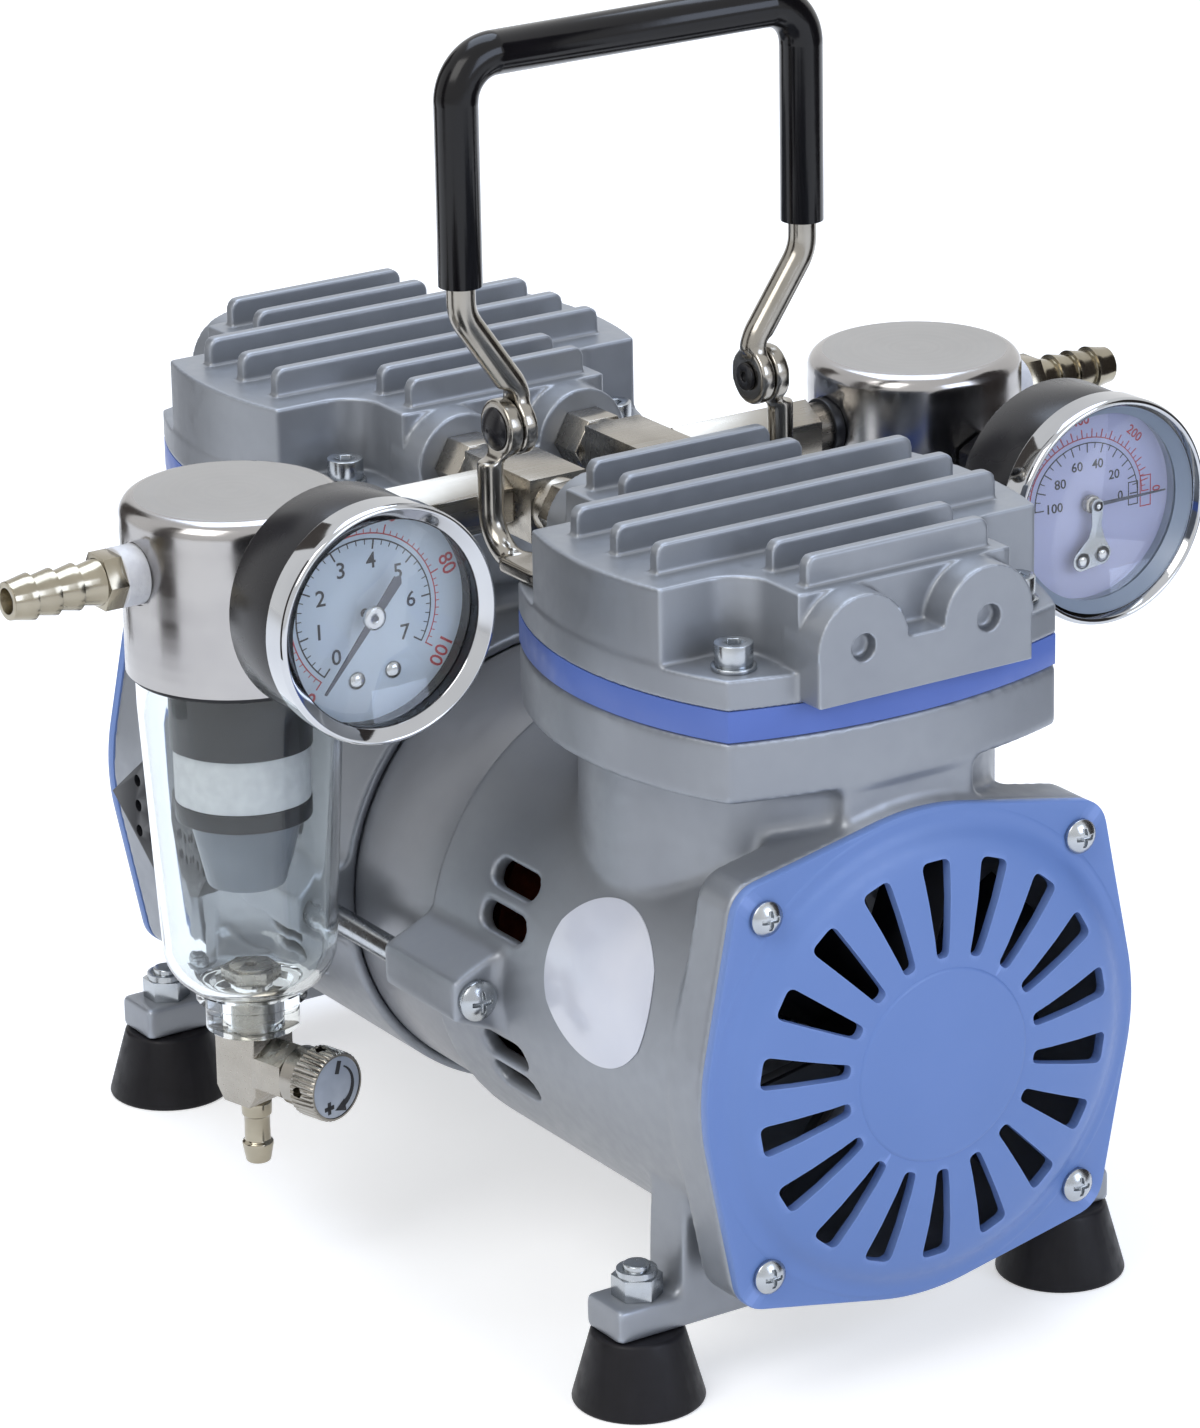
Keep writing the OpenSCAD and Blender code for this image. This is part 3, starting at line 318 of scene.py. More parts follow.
# Nickel plate on bent steel wire: slightly orange-peeled by the bend
NICKEL_WIRE = Finish("nickel_plate_on_steel_wire", "#a19d96", "#918d85", 14, 1.0, 0.2, 0.05,
                     1.6, 0.006)
# Polished and lacquered aluminium cap: long soft reflections down its side
CAP_SIDE = Finish("polished_aluminium", "#aaa8a7", "#a3a1a1", 14, 1.0, 0.2, 0.04, 0.5, 0.001,
                  Grain.ROUND_Z, (0, 93.5, 0), aniso=0.4)
# The same cap faced on a lathe: fine rings, matt beside the polished wall
CAP_TOP = Finish("faced_aluminium", "#a6a5a4", "#a1a09f", 20, 1.0, 0.36, 0.02, 0.5, 0.001,
                 Grain.ROUND_Z, (0, 93.5, 0))
# Chrome on spun brass: mirror bright
CHROME = Finish("polished_chrome", "#bdbfc2", "#b3b5b9", 20, 1.0, 0.06, 0.02, 2.0, 0.0)
# Black enamel on pressed steel: satin with a fine peel
BLACK_ENAMEL = Finish("black_enamel_on_steel", "#1b1b1e", "#1f1f23", 25, 0.0, 0.27, 0.02,
                      2.0, 0.002, gloss=0.35)
# Clear moulded polycarbonate: smooth from the polished mould, faintly blue-green in depth
BOWL = Finish("clear_polycarbonate", "#f1f5f6", "", 30, 0.0, 0.03, 0.01, 6.0, 0.0,
              Grain.ALONG_Z, clear=1.0, ior=1.38, gloss=0.3)
# Moulded acrylic lens: flat and clear, seen only by its glints
LENS = Finish("clear_acrylic_lens", "#f7f9fb", "", 30, 0.0, 0.02, 0.0, clear=1.0, ior=1.49)
# Sintered polyethylene filter: matt white, granular
SINTER = Finish("sintered_polyethylene", "#dfe1e3", "#d3d5d8", 3, 0.0, 0.75, 0.05, 0.45, 0.05,
                ior=1.51)
# Glass-filled nylon, moulded: dark and a little rough
DARK_NYLON = Finish("moulded_black_nylon", "#17181c", "#1b1c20", 12, 0.0, 0.38, 0.02, 2.0, 0.001,
                    gloss=0.3)
# Smoked acetal of the lower baffle: pale grey and waxy beside the black parts
SMOKED = Finish("smoked_acetal", "#747b85", "#6c737d", 9, 0.0, 0.34, 0.05, 0.9, 0.002, ior=1.48)
# PTFE thread tape in several stretched turns: white, waxy, wrinkled along the wrap
TAPE = Finish("ptfe_thread_tape", "#e4e5e8", "#d6d7dc", 4, 0.0, 0.38, 0.06, 2.2, 0.35,
              ior=1.35)
# Printed enamel on thin aluminium of the gauge dials: pale, flat and satin
DIAL_BLUE = Finish("pale_blue_dial_enamel", "#ccd9e6", "#c5d3e2", 18, 0.0, 0.4, 0.04, 0.6, 0.003,
                   ior=1.5)
DIAL_LILAC = Finish("pale_lilac_dial_enamel", "#bfc3e6", "#b9bde0", 18, 0.0, 0.4, 0.04, 0.6,
                    0.003, ior=1.5)
# Screen-printed inks: opaque and satin, hardly raised
BLACK_INK = Finish("black_screen_ink", "#15161c", "#1d1e25", 2, 0.0, 0.45, 0.04)
RED_INK = Finish("red_screen_ink", "#b8303a", "#c23c46", 2, 0.0, 0.45, 0.04)
# Slate paint on pressed pointers: matt, a little paler than the ink
POINTER = Finish("slate_painted_pointer", "#4a4e5c", "#454957", 12, 0.0, 0.4, 0.03, ior=1.5)
# Bright pressed steel of rivets and links: smooth, almost mirror bright
BRIGHT = Finish("bright_pressed_steel", "#c3c5c6", "#b9bbbd", 4, 1.0, 0.17, 0.03, 0.9)
# Grey paint sprayed inside the vacuum gauge: pale, even and satin
PALE_WELL = Finish("pale_grey_gauge_paint", "#97a4b6", "#919eb0", 20, 0.0, 0.36, 0.04, 0.8,
                   0.002, ior=1.5)
# Etched aluminium on the knob's face
KNOB_FACE = Finish("satin_aluminium_disc", "#b4bcc8", "#a9b1be", 5, 0.35, 0.36, 0.05, 0.4, 0.004)


# Meshes


def quick_or(full: float) -> float:
    return full


def new_object(name: str, mesh: bpy.types.Mesh) -> bpy.types.Object:
    """Links a mesh into the scene as an object of that name."""
    made = bpy.data.objects.new(name, mesh)
    bpy.context.scene.collection.objects.link(made)
    return made


def from_faces(name: str, points: Sequence[Sequence[float]],
               faces: Iterable[Sequence[int]]) -> bpy.types.Object:
    """Makes a closed mesh object from points in millimetres.

    Args:
        name: the piece's name.
        points: corners in millimetres.
        faces: corner numbers of each face.

    Returns:
        The object, with its faces turned outwards.
    """
    mesh = bpy.data.meshes.new(name)
    mesh.from_pydata([tuple(c * MM for c in p) for p in points], [], [tuple(f) for f in faces])
    shape = bmesh.new()
    shape.from_mesh(mesh)
    bmesh.ops.recalc_face_normals(shape, faces=shape.faces)
    shape.to_mesh(mesh)
    shape.free()
    return new_object(name, mesh)


def copy_of(node: str, name: str) -> bpy.types.Object:
    """Copies a CAD node's mesh into a new object of that name, with split corners joined."""
    mesh = bpy.data.meshes.new(name)
    shape = bmesh.new()
    shape.from_mesh(frame["nodes"][node].data)
    bmesh.ops.remove_doubles(shape, verts=shape.verts, dist=WELD * MM)
    shape.to_mesh(mesh)
    shape.free()
    return new_object(name, mesh)


def settle(piece: bpy.types.Object) -> None:
    """Applies every modifier of a piece to its mesh."""
    graph = bpy.context.evaluated_depsgraph_get()
    result = bpy.data.meshes.new_from_object(piece.evaluated_get(graph), depsgraph=graph)
    piece.modifiers.clear()
    old = piece.data
    piece.data = result
    bpy.data.meshes.remove(old)


def remesh(piece: bpy.types.Object, voxel_mm: float) -> None:
    """Rebuilds a closed piece from voxels of that size."""
    step = piece.modifiers.new("voxels", "REMESH")
    step.mode = "VOXEL"
    step.voxel_size = voxel_mm * MM
    settle(piece)


def swell(piece: bpy.types.Object, reach_mm: float) -> None:
    """Moves a piece's skin outwards, or inwards where reach_mm is negative."""
    mesh = piece.data
    count = len(mesh.vertices) * 3
    place, facing = np.empty(count, np.float32), np.empty(count, np.float32)
    mesh.vertices.foreach_get("co", place)
    mesh.vertex_normals.foreach_get("vector", facing)
    mesh.vertices.foreach_set("co", place + facing * (reach_mm * MM))
    mesh.update()


def relax(piece: bpy.types.Object, rounds: int, factor: float = 0.5) -> None:
    """Smooths a piece's skin."""
    step = piece.modifiers.new("relax", "SMOOTH")
    step.iterations = rounds
    step.factor = factor
    settle(piece)


def cast(piece: bpy.types.Object, voxel_mm: float, fillet_mm: float, rounds: int) -> None:
    """Gives a piece the filleted inner corners and soft edges of a casting.

    Args:
        piece: a closed piece with sharp corners.
        voxel_mm: size of the mesh's grid.
        fillet_mm: radius left in inner corners.
        rounds: how often the skin is relaxed afterwards.
    """
    remesh(piece, voxel_mm)
    for reach in (fillet_mm, -fillet_mm):
        swell(piece, reach)
        remesh(piece, voxel_mm)
    relax(piece, rounds)


def carve(piece: bpy.types.Object, cutter: bpy.types.Object) -> None:
    """Cuts the shape of one closed piece out of another."""
    step = piece.modifiers.new("carve", "BOOLEAN")
    step.operation = "DIFFERENCE"
    step.solver = "MANIFOLD"
    step.object = cutter
    settle(piece)


def bevel(piece: bpy.types.Object, width_mm: float, segments: int, angle: float = 35) -> None:
    """Rounds every edge sharper than an angle in degrees.

    Args:
        piece: the piece.
        width_mm: width of the rounding.
        segments: faces across it.
        angle: smallest angle between faces that is rounded.
    """
    step = piece.modifiers.new("edges", "BEVEL")
    step.width = width_mm * MM
    step.segments = segments
    step.limit_method = "ANGLE"
    step.angle_limit = math.radians(angle)
    step.use_clamp_overlap = True
    settle(piece)


def soften(piece: bpy.types.Object, width_mm: float, segments: int = 2) -> None:
    """Rounds the sharp edges of a machined or moulded piece.

    Args:
        piece: the piece, its flat faces still cut into triangles.
        width_mm: width of the rounding.
        segments: faces across it.
    """
    shape = bmesh.new()
    shape.from_mesh(piece.data)
    bmesh.ops.dissolve_limit(shape, angle_limit=math.radians(FLAT), verts=shape.verts,
                             edges=shape.edges)
    shape.to_mesh(piece.data)
    shape.free()
    bevel(piece, width_mm, segments)


def shade(piece: bpy.types.Object, angle: float = 35.0) -> None:
    """Shades a piece smooth, with edges sharper than the angle left crisp."""
    mesh = piece.data
    mesh.polygons.foreach_set("use_smooth", [True] * len(mesh.polygons))
    mesh.set_sharp_from_angle(angle=math.radians(angle))


def axis_frame(origin: Point, axis: Point) -> Matrix:
    """Matrix whose Z runs along an axis from an origin, in millimetres.

    Args:
        origin: a point in millimetres.
        axis: a direction.

    Returns:
        The matrix from the axis' own frame to the pump's.
    """
    turn = Vector(axis).normalized().to_track_quat("Z", "Y").to_matrix().to_4x4()
    return Matrix.Translation(origin) @ turn


def lathe(name: str, outline: Outline, origin: Point, axis: Point, steps: int = 96,
          ripple: Ripple | None = None) -> bpy.types.Object:
    """Turns a closed outline round an axis.

    Args:
        name: the piece's name.
        outline: (radius, height) points, joined to a ring at the end where none is on the axis.
        origin: the axis' start in millimetres.
        axis: its direction.
        steps: faces round.
        ripple: change of radius at (angle, radius, height), such as a knurl.

    Returns:
        The new object.
    """
    place = axis_frame(origin, axis)
    points: list[Sequence[float]] = []
    rings: list[list[int]] = []
    for radius, height in outline:
        if radius < ON_AXIS:
            rings.append([len(points)] * steps)
            points.append(place @ Vector((0, 0, height)))
            continue
        rings.append(list(range(len(points), len(points) + steps)))
        for i in range(steps):
            angle = math.tau * i / steps
            r = radius + (ripple(angle, radius, height) if ripple else 0.0)
            points.append(place @ Vector((r * math.cos(angle), r * math.sin(angle), height)))
    faces = []
    closed = outline[0][0] > ON_AXIS and outline[-1][0] > ON_AXIS
    for a, b in zip(rings, rings[1:] + (rings[:1] if closed else [])):
        for i in range(steps):
            corners = [a[i], a[(i + 1) % steps], b[(i + 1) % steps], b[i]]
            corners = list(dict.fromkeys(corners))
            if len(corners) > 2:
                faces.append(corners)
    return from_faces(name, points, faces)


def rounded(outline: Outline, radius: float, steps: int = 4) -> list[Spot]:
    """Rounds the inner corners of an open outline.

    Args:
        outline: points of the outline; the first and last stay.
        radius: rounding in millimetres, less where a side is short.
        steps: points in each rounded corner.

    Returns:
        The new outline.
    """
    result = [outline[0]]
    for before, corner, after in zip(outline, outline[1:], outline[2:]):
        here = Vector(corner)
        to_before, to_after = Vector(before) - here, Vector(after) - here
        reach = min(radius, to_before.length * 0.45, to_after.length * 0.45)
        start = here + to_before.normalized() * reach
        end = here + to_after.normalized() * reach
        for i in range(steps + 1):
            t = i / steps
            bent = start * (1 - t) ** 2 + here * (2 * t * (1 - t)) + end * t ** 2
            result.append((bent.x, bent.y))
    result.append(outline[-1])
    return result


def plate(outline: Outline, place: Matrix, low: float,
          high: float) -> tuple[list[Vector], list[list[int]]]:
    """Points and faces of a flat outline thickened along its Z.

    Args:
        outline: (x, y) points in order.
        place: matrix to the pump's frame.
        low: lower height.
        high: upper height.

    Returns:
        Points in millimetres, and faces.
    """
    count = len(outline)
    points = [place @ Vector((x, y, z)) for z in (low, high) for x, y in outline]
    faces = [[i, (i + 1) % count, count + (i + 1) % count, count + i] for i in range(count)]
    return points, faces + [list(range(count))[::-1], list(range(count, 2 * count))]


def prisms(name: str, shapes: Iterable[tuple[Matrix, Outline]], low: float,
           high: float) -> bpy.types.Object:
    """Makes one object of several thickened outlines, to cut with.

    Args:
        name: the object's name.
        shapes: matrix to the pump's frame and outline of each.
        low: lower height along each matrix' Z.
        high: upper height.

    Returns:
        The new object.
    """
    points: list[Vector] = []
    faces: list[list[int]] = []
    for place, outline in shapes:
        more, sides = plate(outline, place, low, high)
        start = len(points)
        points += more
        faces += [[start + i for i in face] for face in sides]
    return from_faces(name, points, faces)


def arc_points(middle: Spot, radius: float, start: float, end: float, steps: int) -> list[Spot]:
    """Points of an arc between two angles in degrees, anticlockwise from the first axis."""
    angles = [math.radians(start + (end - start) * i / steps) for i in range(steps + 1)]
    return [(middle[0] + radius * math.cos(t), middle[1] + radius * math.sin(t)) for t in angles]


def circle(radius: float, steps: int) -> list[Spot]:
    """Points of a whole circle round the origin."""
    return arc_points((0, 0), radius, 0, 360, steps)[:-1]


def clock(radius: float, angle: float) -> Spot:
    """Point at a radius and an angle in degrees, clockwise from the top."""
    t = math.radians(angle)
    return (radius * math.sin(t), radius * math.cos(t))


class Marks:
    """Thin printed marks, gathered into one closed mesh."""

    def __init__(self, place: Matrix, thickness_mm: float = 0.05) -> None:
        """Starts with no marks.

        Args:
            place: matrix from the printed face, Z outwards, to the pump's frame.
            thickness_mm: how far the ink stands up.
        """
        self.place = place
        self.thickness = thickness_mm
        self.points: list[Sequence[float]] = []
        self.faces: list[list[int]] = []

    def _take(self, points: Sequence[Sequence[float]], faces: Iterable[Sequence[int]]) -> None:
        """Adds points and faces to the mesh."""
        start = len(self.points)
        self.points.extend(points)
        self.faces.extend([start + i for i in face] for face in faces)

    def patch(self, outline: Outline) -> None:
        """Adds a filled outline."""
        self._take(*plate(outline, self.place, 0.01, self.thickness))

    def line(self, start: Spot, end: Spot, width: float) -> None:
        """Adds a straight line of that width."""
        a, b = Vector(start), Vector(end)
        side = (b - a).normalized().orthogonal() * width / 2
        self.patch([tuple(a + side), tuple(b + side), tuple(b - side), tuple(a - side)])

    def band(self, start: float, end: float, radius: float, half: float) -> None:
        """Adds a short piece of a ring, half a width to either side of its radius."""
        inner, outer = radius - half, radius + half
        self.patch([clock(inner, start), clock(inner, end), clock(outer, end),
                    clock(outer, start)])

    def arc(self, radius: float, start: float, end: float, width: float) -> None:
        """Adds an arc between two angles in degrees, clockwise from the top."""
        steps = max(8, int(abs(end - start) / 3))
        for i in range(steps):
            a, b = (start + (end - start) * (i + k) / steps for k in (0, 1.02))
            self.band(a, b, radius, width / 2)

    def tick(self, angle: float, inner: float, outer: float, width: float) -> None:
        """Adds a radial tick at an angle in degrees, clockwise from the top."""
        self.line(clock(inner, angle), clock(outer, angle), width)

    def figure(self, text: str, at: Spot, height: float, turn: float = 0.0) -> None:
        """Adds a number in Blender's own plain face.

        Args:
            text: the digits.
            at: their middle on the face.
            height: height of a digit in millimetres.
            turn: turn in degrees, clockwise.
        """
        curve = bpy.data.curves.new("figure", "FONT")
        curve.body = text
        curve.align_x = "CENTER"
        curve.align_y = "CENTER"
        curve.size = height * 1.42
        curve.offset = height * 0.012
        curve.resolution_u = 3
        curve.extrude = self.thickness / 2
        holder = new_object("figure", curve)
        graph = bpy.context.evaluated_depsgraph_get()
        mesh = bpy.data.meshes.new_from_object(holder.evaluated_get(graph), depsgraph=graph)
        turned = Matrix.Rotation(math.radians(-turn), 4, "Z")
        move = Matrix.Translation((at[0], at[1], 0.01 + self.thickness / 2))
        whole = self.place @ move @ turned
        self._take([whole @ v.co for v in mesh.vertices], [list(p.vertices) for p in mesh.polygons])
        bpy.data.objects.remove(holder)
        bpy.data.curves.remove(curve)
        bpy.data.meshes.remove(mesh)

    def piece(self, name: str) -> bpy.types.Object:
        """Makes the gathered marks into one object."""
        return from_faces(name, self.points, self.faces)


def dress(piece: bpy.types.Object, finish: Finish, *nodes: str, body: str = "",
          slot: str = "") -> bpy.types.Object:
    """Finishes a piece and ties it to the frame.

    Args:
        piece: the new piece.
        finish: its finish.
        *nodes: CAD nodes that it stands for; the first gives the body where it isn't named.
        body: CAD body that it rides on.
        slot: the record's material slot; not used.

    Returns:
        The piece.
    """
    piece.data.materials.clear()
    piece.data.materials.append(finish.material())
    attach(piece, body or frame["nodes"][nodes[0]]["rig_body"])
    if nodes:
        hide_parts(*nodes)
    log.info("%s: %d faces in %s", piece.name, len(piece.data.polygons), finish.name)
    return piece


def paint(node: str, finish: Finish) -> None:
    """Gives a CAD node that stays its finish."""
    mesh = frame["nodes"][node].data
    if not mesh.materials:
        mesh.materials.append(finish.material())
    for i in range(len(mesh.materials)):
        mesh.materials[i] = finish.material()
    log.info("%s: CAD node in %s", node, finish.name)


def softened(node: str, finish: Finish, width_mm: float, segments: int = 2) -> bpy.types.Object:
    """Replaces a CAD node by a copy with rounded edges.

    Args:
        node: the CAD node.
        finish: its finish.
        width_mm: width of the rounding.
        segments: faces across a rounding.

    Returns:
        The new piece.
    """
    piece = copy_of(node, node + "_part")
    soften(piece, width_mm, segments)
    shade(piece)
    return dress(piece, finish, node)


def turned(name: str, outline: Outline, origin: Point, axis: Point, finish: Finish,
           *nodes: str, steps: int = 96, crisp: float = 35.0, ripple: Ripple | None = None,
           body: str = "", slot: str = "") -> bpy.types.Object:
    """Turns an outline round an axis, shades and dresses it.

    Args:
        name: the piece's name.
        outline: (radius, height) points as for lathe.
        origin: the axis' start in millimetres.
        axis: its direction.
        finish: its finish.
        *nodes: CAD nodes that it stands for.
        steps: faces round.
        crisp: smallest angle in degrees between faces that stays an edge.
        ripple: change of radius as for lathe.
        body: CAD body that it rides on where no node gives it.
        slot: the record's material slot, passed on to dress.

    Returns:
        The new piece.
    """
    piece = lathe(name, outline, origin, axis, steps, ripple)
    shade(piece, crisp)
    return dress(piece, finish, *nodes, body=body, slot=slot)


def second_finish(piece: bpy.types.Object, finish: Finish,
                  where: Callable[[bpy.types.MeshPolygon], bool]) -> None:
    """Gives the faces of a piece that pass a test another finish."""
    piece.data.materials.append(finish.material())
    for face in piece.data.polygons:
        face.material_index = int(where(face))


# Sub-assemblies


class SubAssembly:
    """A group of pieces; the plain ones are CAD nodes that only need rounded edges."""

    # CAD node, finish, width of the rounding and, where it isn't 2, faces across it
    plain: ClassVar[tuple[tuple, ...]] = ()

    def build(self) -> None:
        """Builds the plain pieces."""
        for row in self.plain:
            softened(*row)


@dataclass
class Castings(SubAssembly):
    """The two crankcases and the two heads, die-cast and painted, and the plates between."""

    plain: ClassVar = (("valve_plates", BLUE_PLATE, 0.5),)
    body_voxel: float = 0.7
    body_voxel_quick: float = 1.1
    body_fillet: float = 1.4
    head_voxel: float = 0.45
    head_voxel_quick: float = 0.8
    head_rounds: int = 5
    crisp: float = 60.0
    vent_half: float = 3.1
    vent_ends: Spot = (41.0, 53.0)
    vent_reach: Spot = (44.0, 64.0)
    vent_angles: tuple[float, ...] = (26.7, 16.4, -15.5, -24.2)

    def vents(self) -> bpy.types.Object:
        """Cutter with the round-ended vents of both crankcases, which the inner fillets fill."""
        outline = (arc_points((self.vent_ends[1], 0), self.vent_half, -90, 90, 12)
                   + arc_points((self.vent_ends[0], 0), self.vent_half, 90, 270, 12))
        stand = Matrix.Rotation(math.radians(90), 4, "X")
        shapes = [(Matrix.Diagonal((end, side, 1, 1)) @ Matrix.Translation((0, 0, SHAFT_Z))
                   @ Matrix.Rotation(math.radians(angle), 4, "X") @ stand, outline)
                  for end in (1, -1) for side in (1, -1) for angle in self.vent_angles]
        return prisms("vent_cutter", shapes, -self.vent_reach[1], -self.vent_reach[0])

    def build(self) -> None:
        """Builds the four castings and the plates."""
        cutter = self.vents()
        voxel = quick_or(self.body_voxel)
        for node in ("near_crankcase", "far_crankcase"):
            piece = copy_of(node, node + "_casting")
            cast(piece, voxel, self.body_fillet, 1)
            carve(piece, cutter)
            remesh(piece, voxel)
            relax(piece, 2)
            shade(piece, self.crisp)
            dress(piece, SILVER, node)
        bpy.data.objects.remove(cutter)
        for node in ("near_head", "far_head"):
            piece = copy_of(node, node + "_casting")
            remesh(piece, quick_or(self.head_voxel))
            relax(piece, self.head_rounds)
            shade(piece, self.crisp)
            dress(piece, SILVER, node)
        super().build()


@dataclass
class FanCovers(SubAssembly):
    """The two slotted blue covers with their screws."""

    plain: ClassVar = (("cover_screws", ZINC, 0.18), ("fans", DARK_NYLON, 0.4))
    rim_x: float = 130.3
    body_r: float = 57.5
    flange_at: float = 57.1
    ear_r: float = 8.0
    ear_at: float = 59.4
    slots: int = 18
    slot_round: float = 2.1
    screw_at: float = 42.0
    hole_r: float = 2.3
    # Section from the hub's middle over the rolled shoulder to the flange and back underneath
    section: tuple[tuple[float, float], ...] = (
        (0, 10.2), (21.6, 10.2), (22.1, 10.1), (22.4, 9.75), (22.7, 9.72), (30, 9.4), (38, 8.5),
        (43, 7.6), (46, 7.0), (48, 6.5), (49.5, 5.95), (50.8, 5.2), (51.8, 4.4), (52.8, 3.7),
        (53.8, 3.25), (54.8, 3.0), (55.8, 2.95), (56.4, 2.9), (56.8, 2.72), (57.0, 2.65),
        (57.2, 2.63), (57.35, 2.5), (57.5, 2.25), (57.5, 0.3), (57.3, 0.05), (52, 0.0),
        (52, 1.4), (46, 4.3), (38, 6.0), (30, 6.9), (22, 7.3), (0, 7.5))
    # Radius and half width of a slot at its two ends
    slot: tuple[Spot, Spot] = ((25.0, 1.5), (46.8, 3.85))
    cut_from: float = -1.0
    cut_to: float = 14.0

    def outline(self, angle: float, radius: float, _height: float) -> float:
        """How far the flange's edge lies outside the round body, with its four ears."""
        if radius < self.flange_at:
            return 0.0
        lean = math.acos((self.body_r - self.ear_r) / self.ear_at)
        corner = math.tau / 4
        off = abs((angle + corner / 2) % corner - corner / 2)
        off = corner / 2 - off
        touch = math.atan2(self.ear_r * math.sin(lean), self.ear_at + self.ear_r * math.cos(lean))
        if off > lean:
            return 0.0
        if off > touch:
            return self.body_r / math.cos(lean - off) - self.body_r
        rest = self.ear_r ** 2 - (self.ear_at * math.sin(off)) ** 2
        return self.ear_at * math.cos(off) + math.sqrt(rest) - self.body_r

    def cutters(self, place: Matrix) -> bpy.types.Object:
        """The slots and screw holes of one cover."""
        (inner, thin), (outer, wide) = self.slot
        middle = ((inner + outer) / 2, (thin + wide) / 2)
        ring = rounded([middle, (inner, thin), (inner, -thin), (outer, -wide), (outer, wide),
                        middle], self.slot_round, 6)[:-1]
        hole = circle(self.hole_r, 24)
        corners = (-self.screw_at, self.screw_at)
        shapes = [(place @ Matrix.Rotation(math.tau * (i + 0.5) / self.slots, 4, "Z"), ring)
                  for i in range(self.slots)]
        shapes += [(place @ Matrix.Translation((x, y, 0)), hole) for x in corners for y in corners]
        return prisms("slot_cutter", shapes, self.cut_from, self.cut_to)

    def build(self) -> None:
        """Builds the covers, screws and fans."""
        for end, node in ((1, "near_fan_cover"), (-1, "far_fan_cover")):
            origin, axis = (end * self.rim_x, 0, SHAFT_Z), (end, 0, 0)
            piece = lathe(node + "_moulding", self.section, origin, axis, 288, self.outline)
            cutter = self.cutters(axis_frame(origin, axis))
            carve(piece, cutter)
            bpy.data.objects.remove(cutter)
            shade(piece, 40)
            dress(piece, BLUE_ABS, node)
        super().build()


@dataclass
class MotorCore(SubAssembly):
    """Motor shell, wrap label and everything inside."""

    plain: ClassVar = (("motor_shell", SHELL, 0.3), ("label_band", WRAP_FILM, 0.06),
                       ("tie_rods", ZINC, 0.25), ("tie_rod_nuts", ZINC, 0.25))
    inside: tuple[tuple[str, Finish], ...] = (
        ("stator_core", LAMINATION), ("rotor_core", LAMINATION), ("windings", COPPER),
        ("shaft_bearings", STEEL), ("shaft", STEEL), ("eccentrics", STEEL),
        ("reed_valves", STEEL), ("cylinder_sleeves", SLEEVE),
        ("connecting_rod_near", ROD_CAST), ("connecting_rod_far", ROD_CAST),
        ("piston_seal_near", PTFE), ("piston_seal_far", PTFE), ("bourdon_tubes", NICKEL))

    def build(self) -> None:
        """Builds the shell and finishes the inner nodes."""
        super().build()
        for node, finish in self.inside:
            paint(node, finish)


@dataclass
class Handle(SubAssembly):
    """Folding handle: bent wire, dipped grip, rivets and brackets."""

    plain: ClassVar = (("handle_grip", VINYL, 0.5), ("handle_rivets", BLACK_ENAMEL, 0.3))
    voxel: float = 0.4
    voxel_quick: float = 0.6
    fillet: float = 1.6
    rounds: int = 12

    def build(self) -> None:
        """Builds the handle's pieces."""
        for node in ("handle_rod", "handle_brackets"):
            piece = copy_of(node, node + "_forging")
            cast(piece, quick_or(self.voxel), self.fillet, self.rounds)
            shade(piece, 60)
            dress(piece, NICKEL_WIRE, node)
        super().build()


class Manifold(SubAssembly):
    """Plated bars, nipples and hose barbs between heads and caps."""

    plain = (("manifold_bars", NICKEL, 0.7), ("hex_nipples", NICKEL, 0.45),
             ("cross_bars", NICKEL, 0.4), ("hose_barbs", NICKEL_TURNED, 0.25),
             ("seal_rings", DARK_NYLON, 0.2), ("thread_tape", TAPE, 0.3))


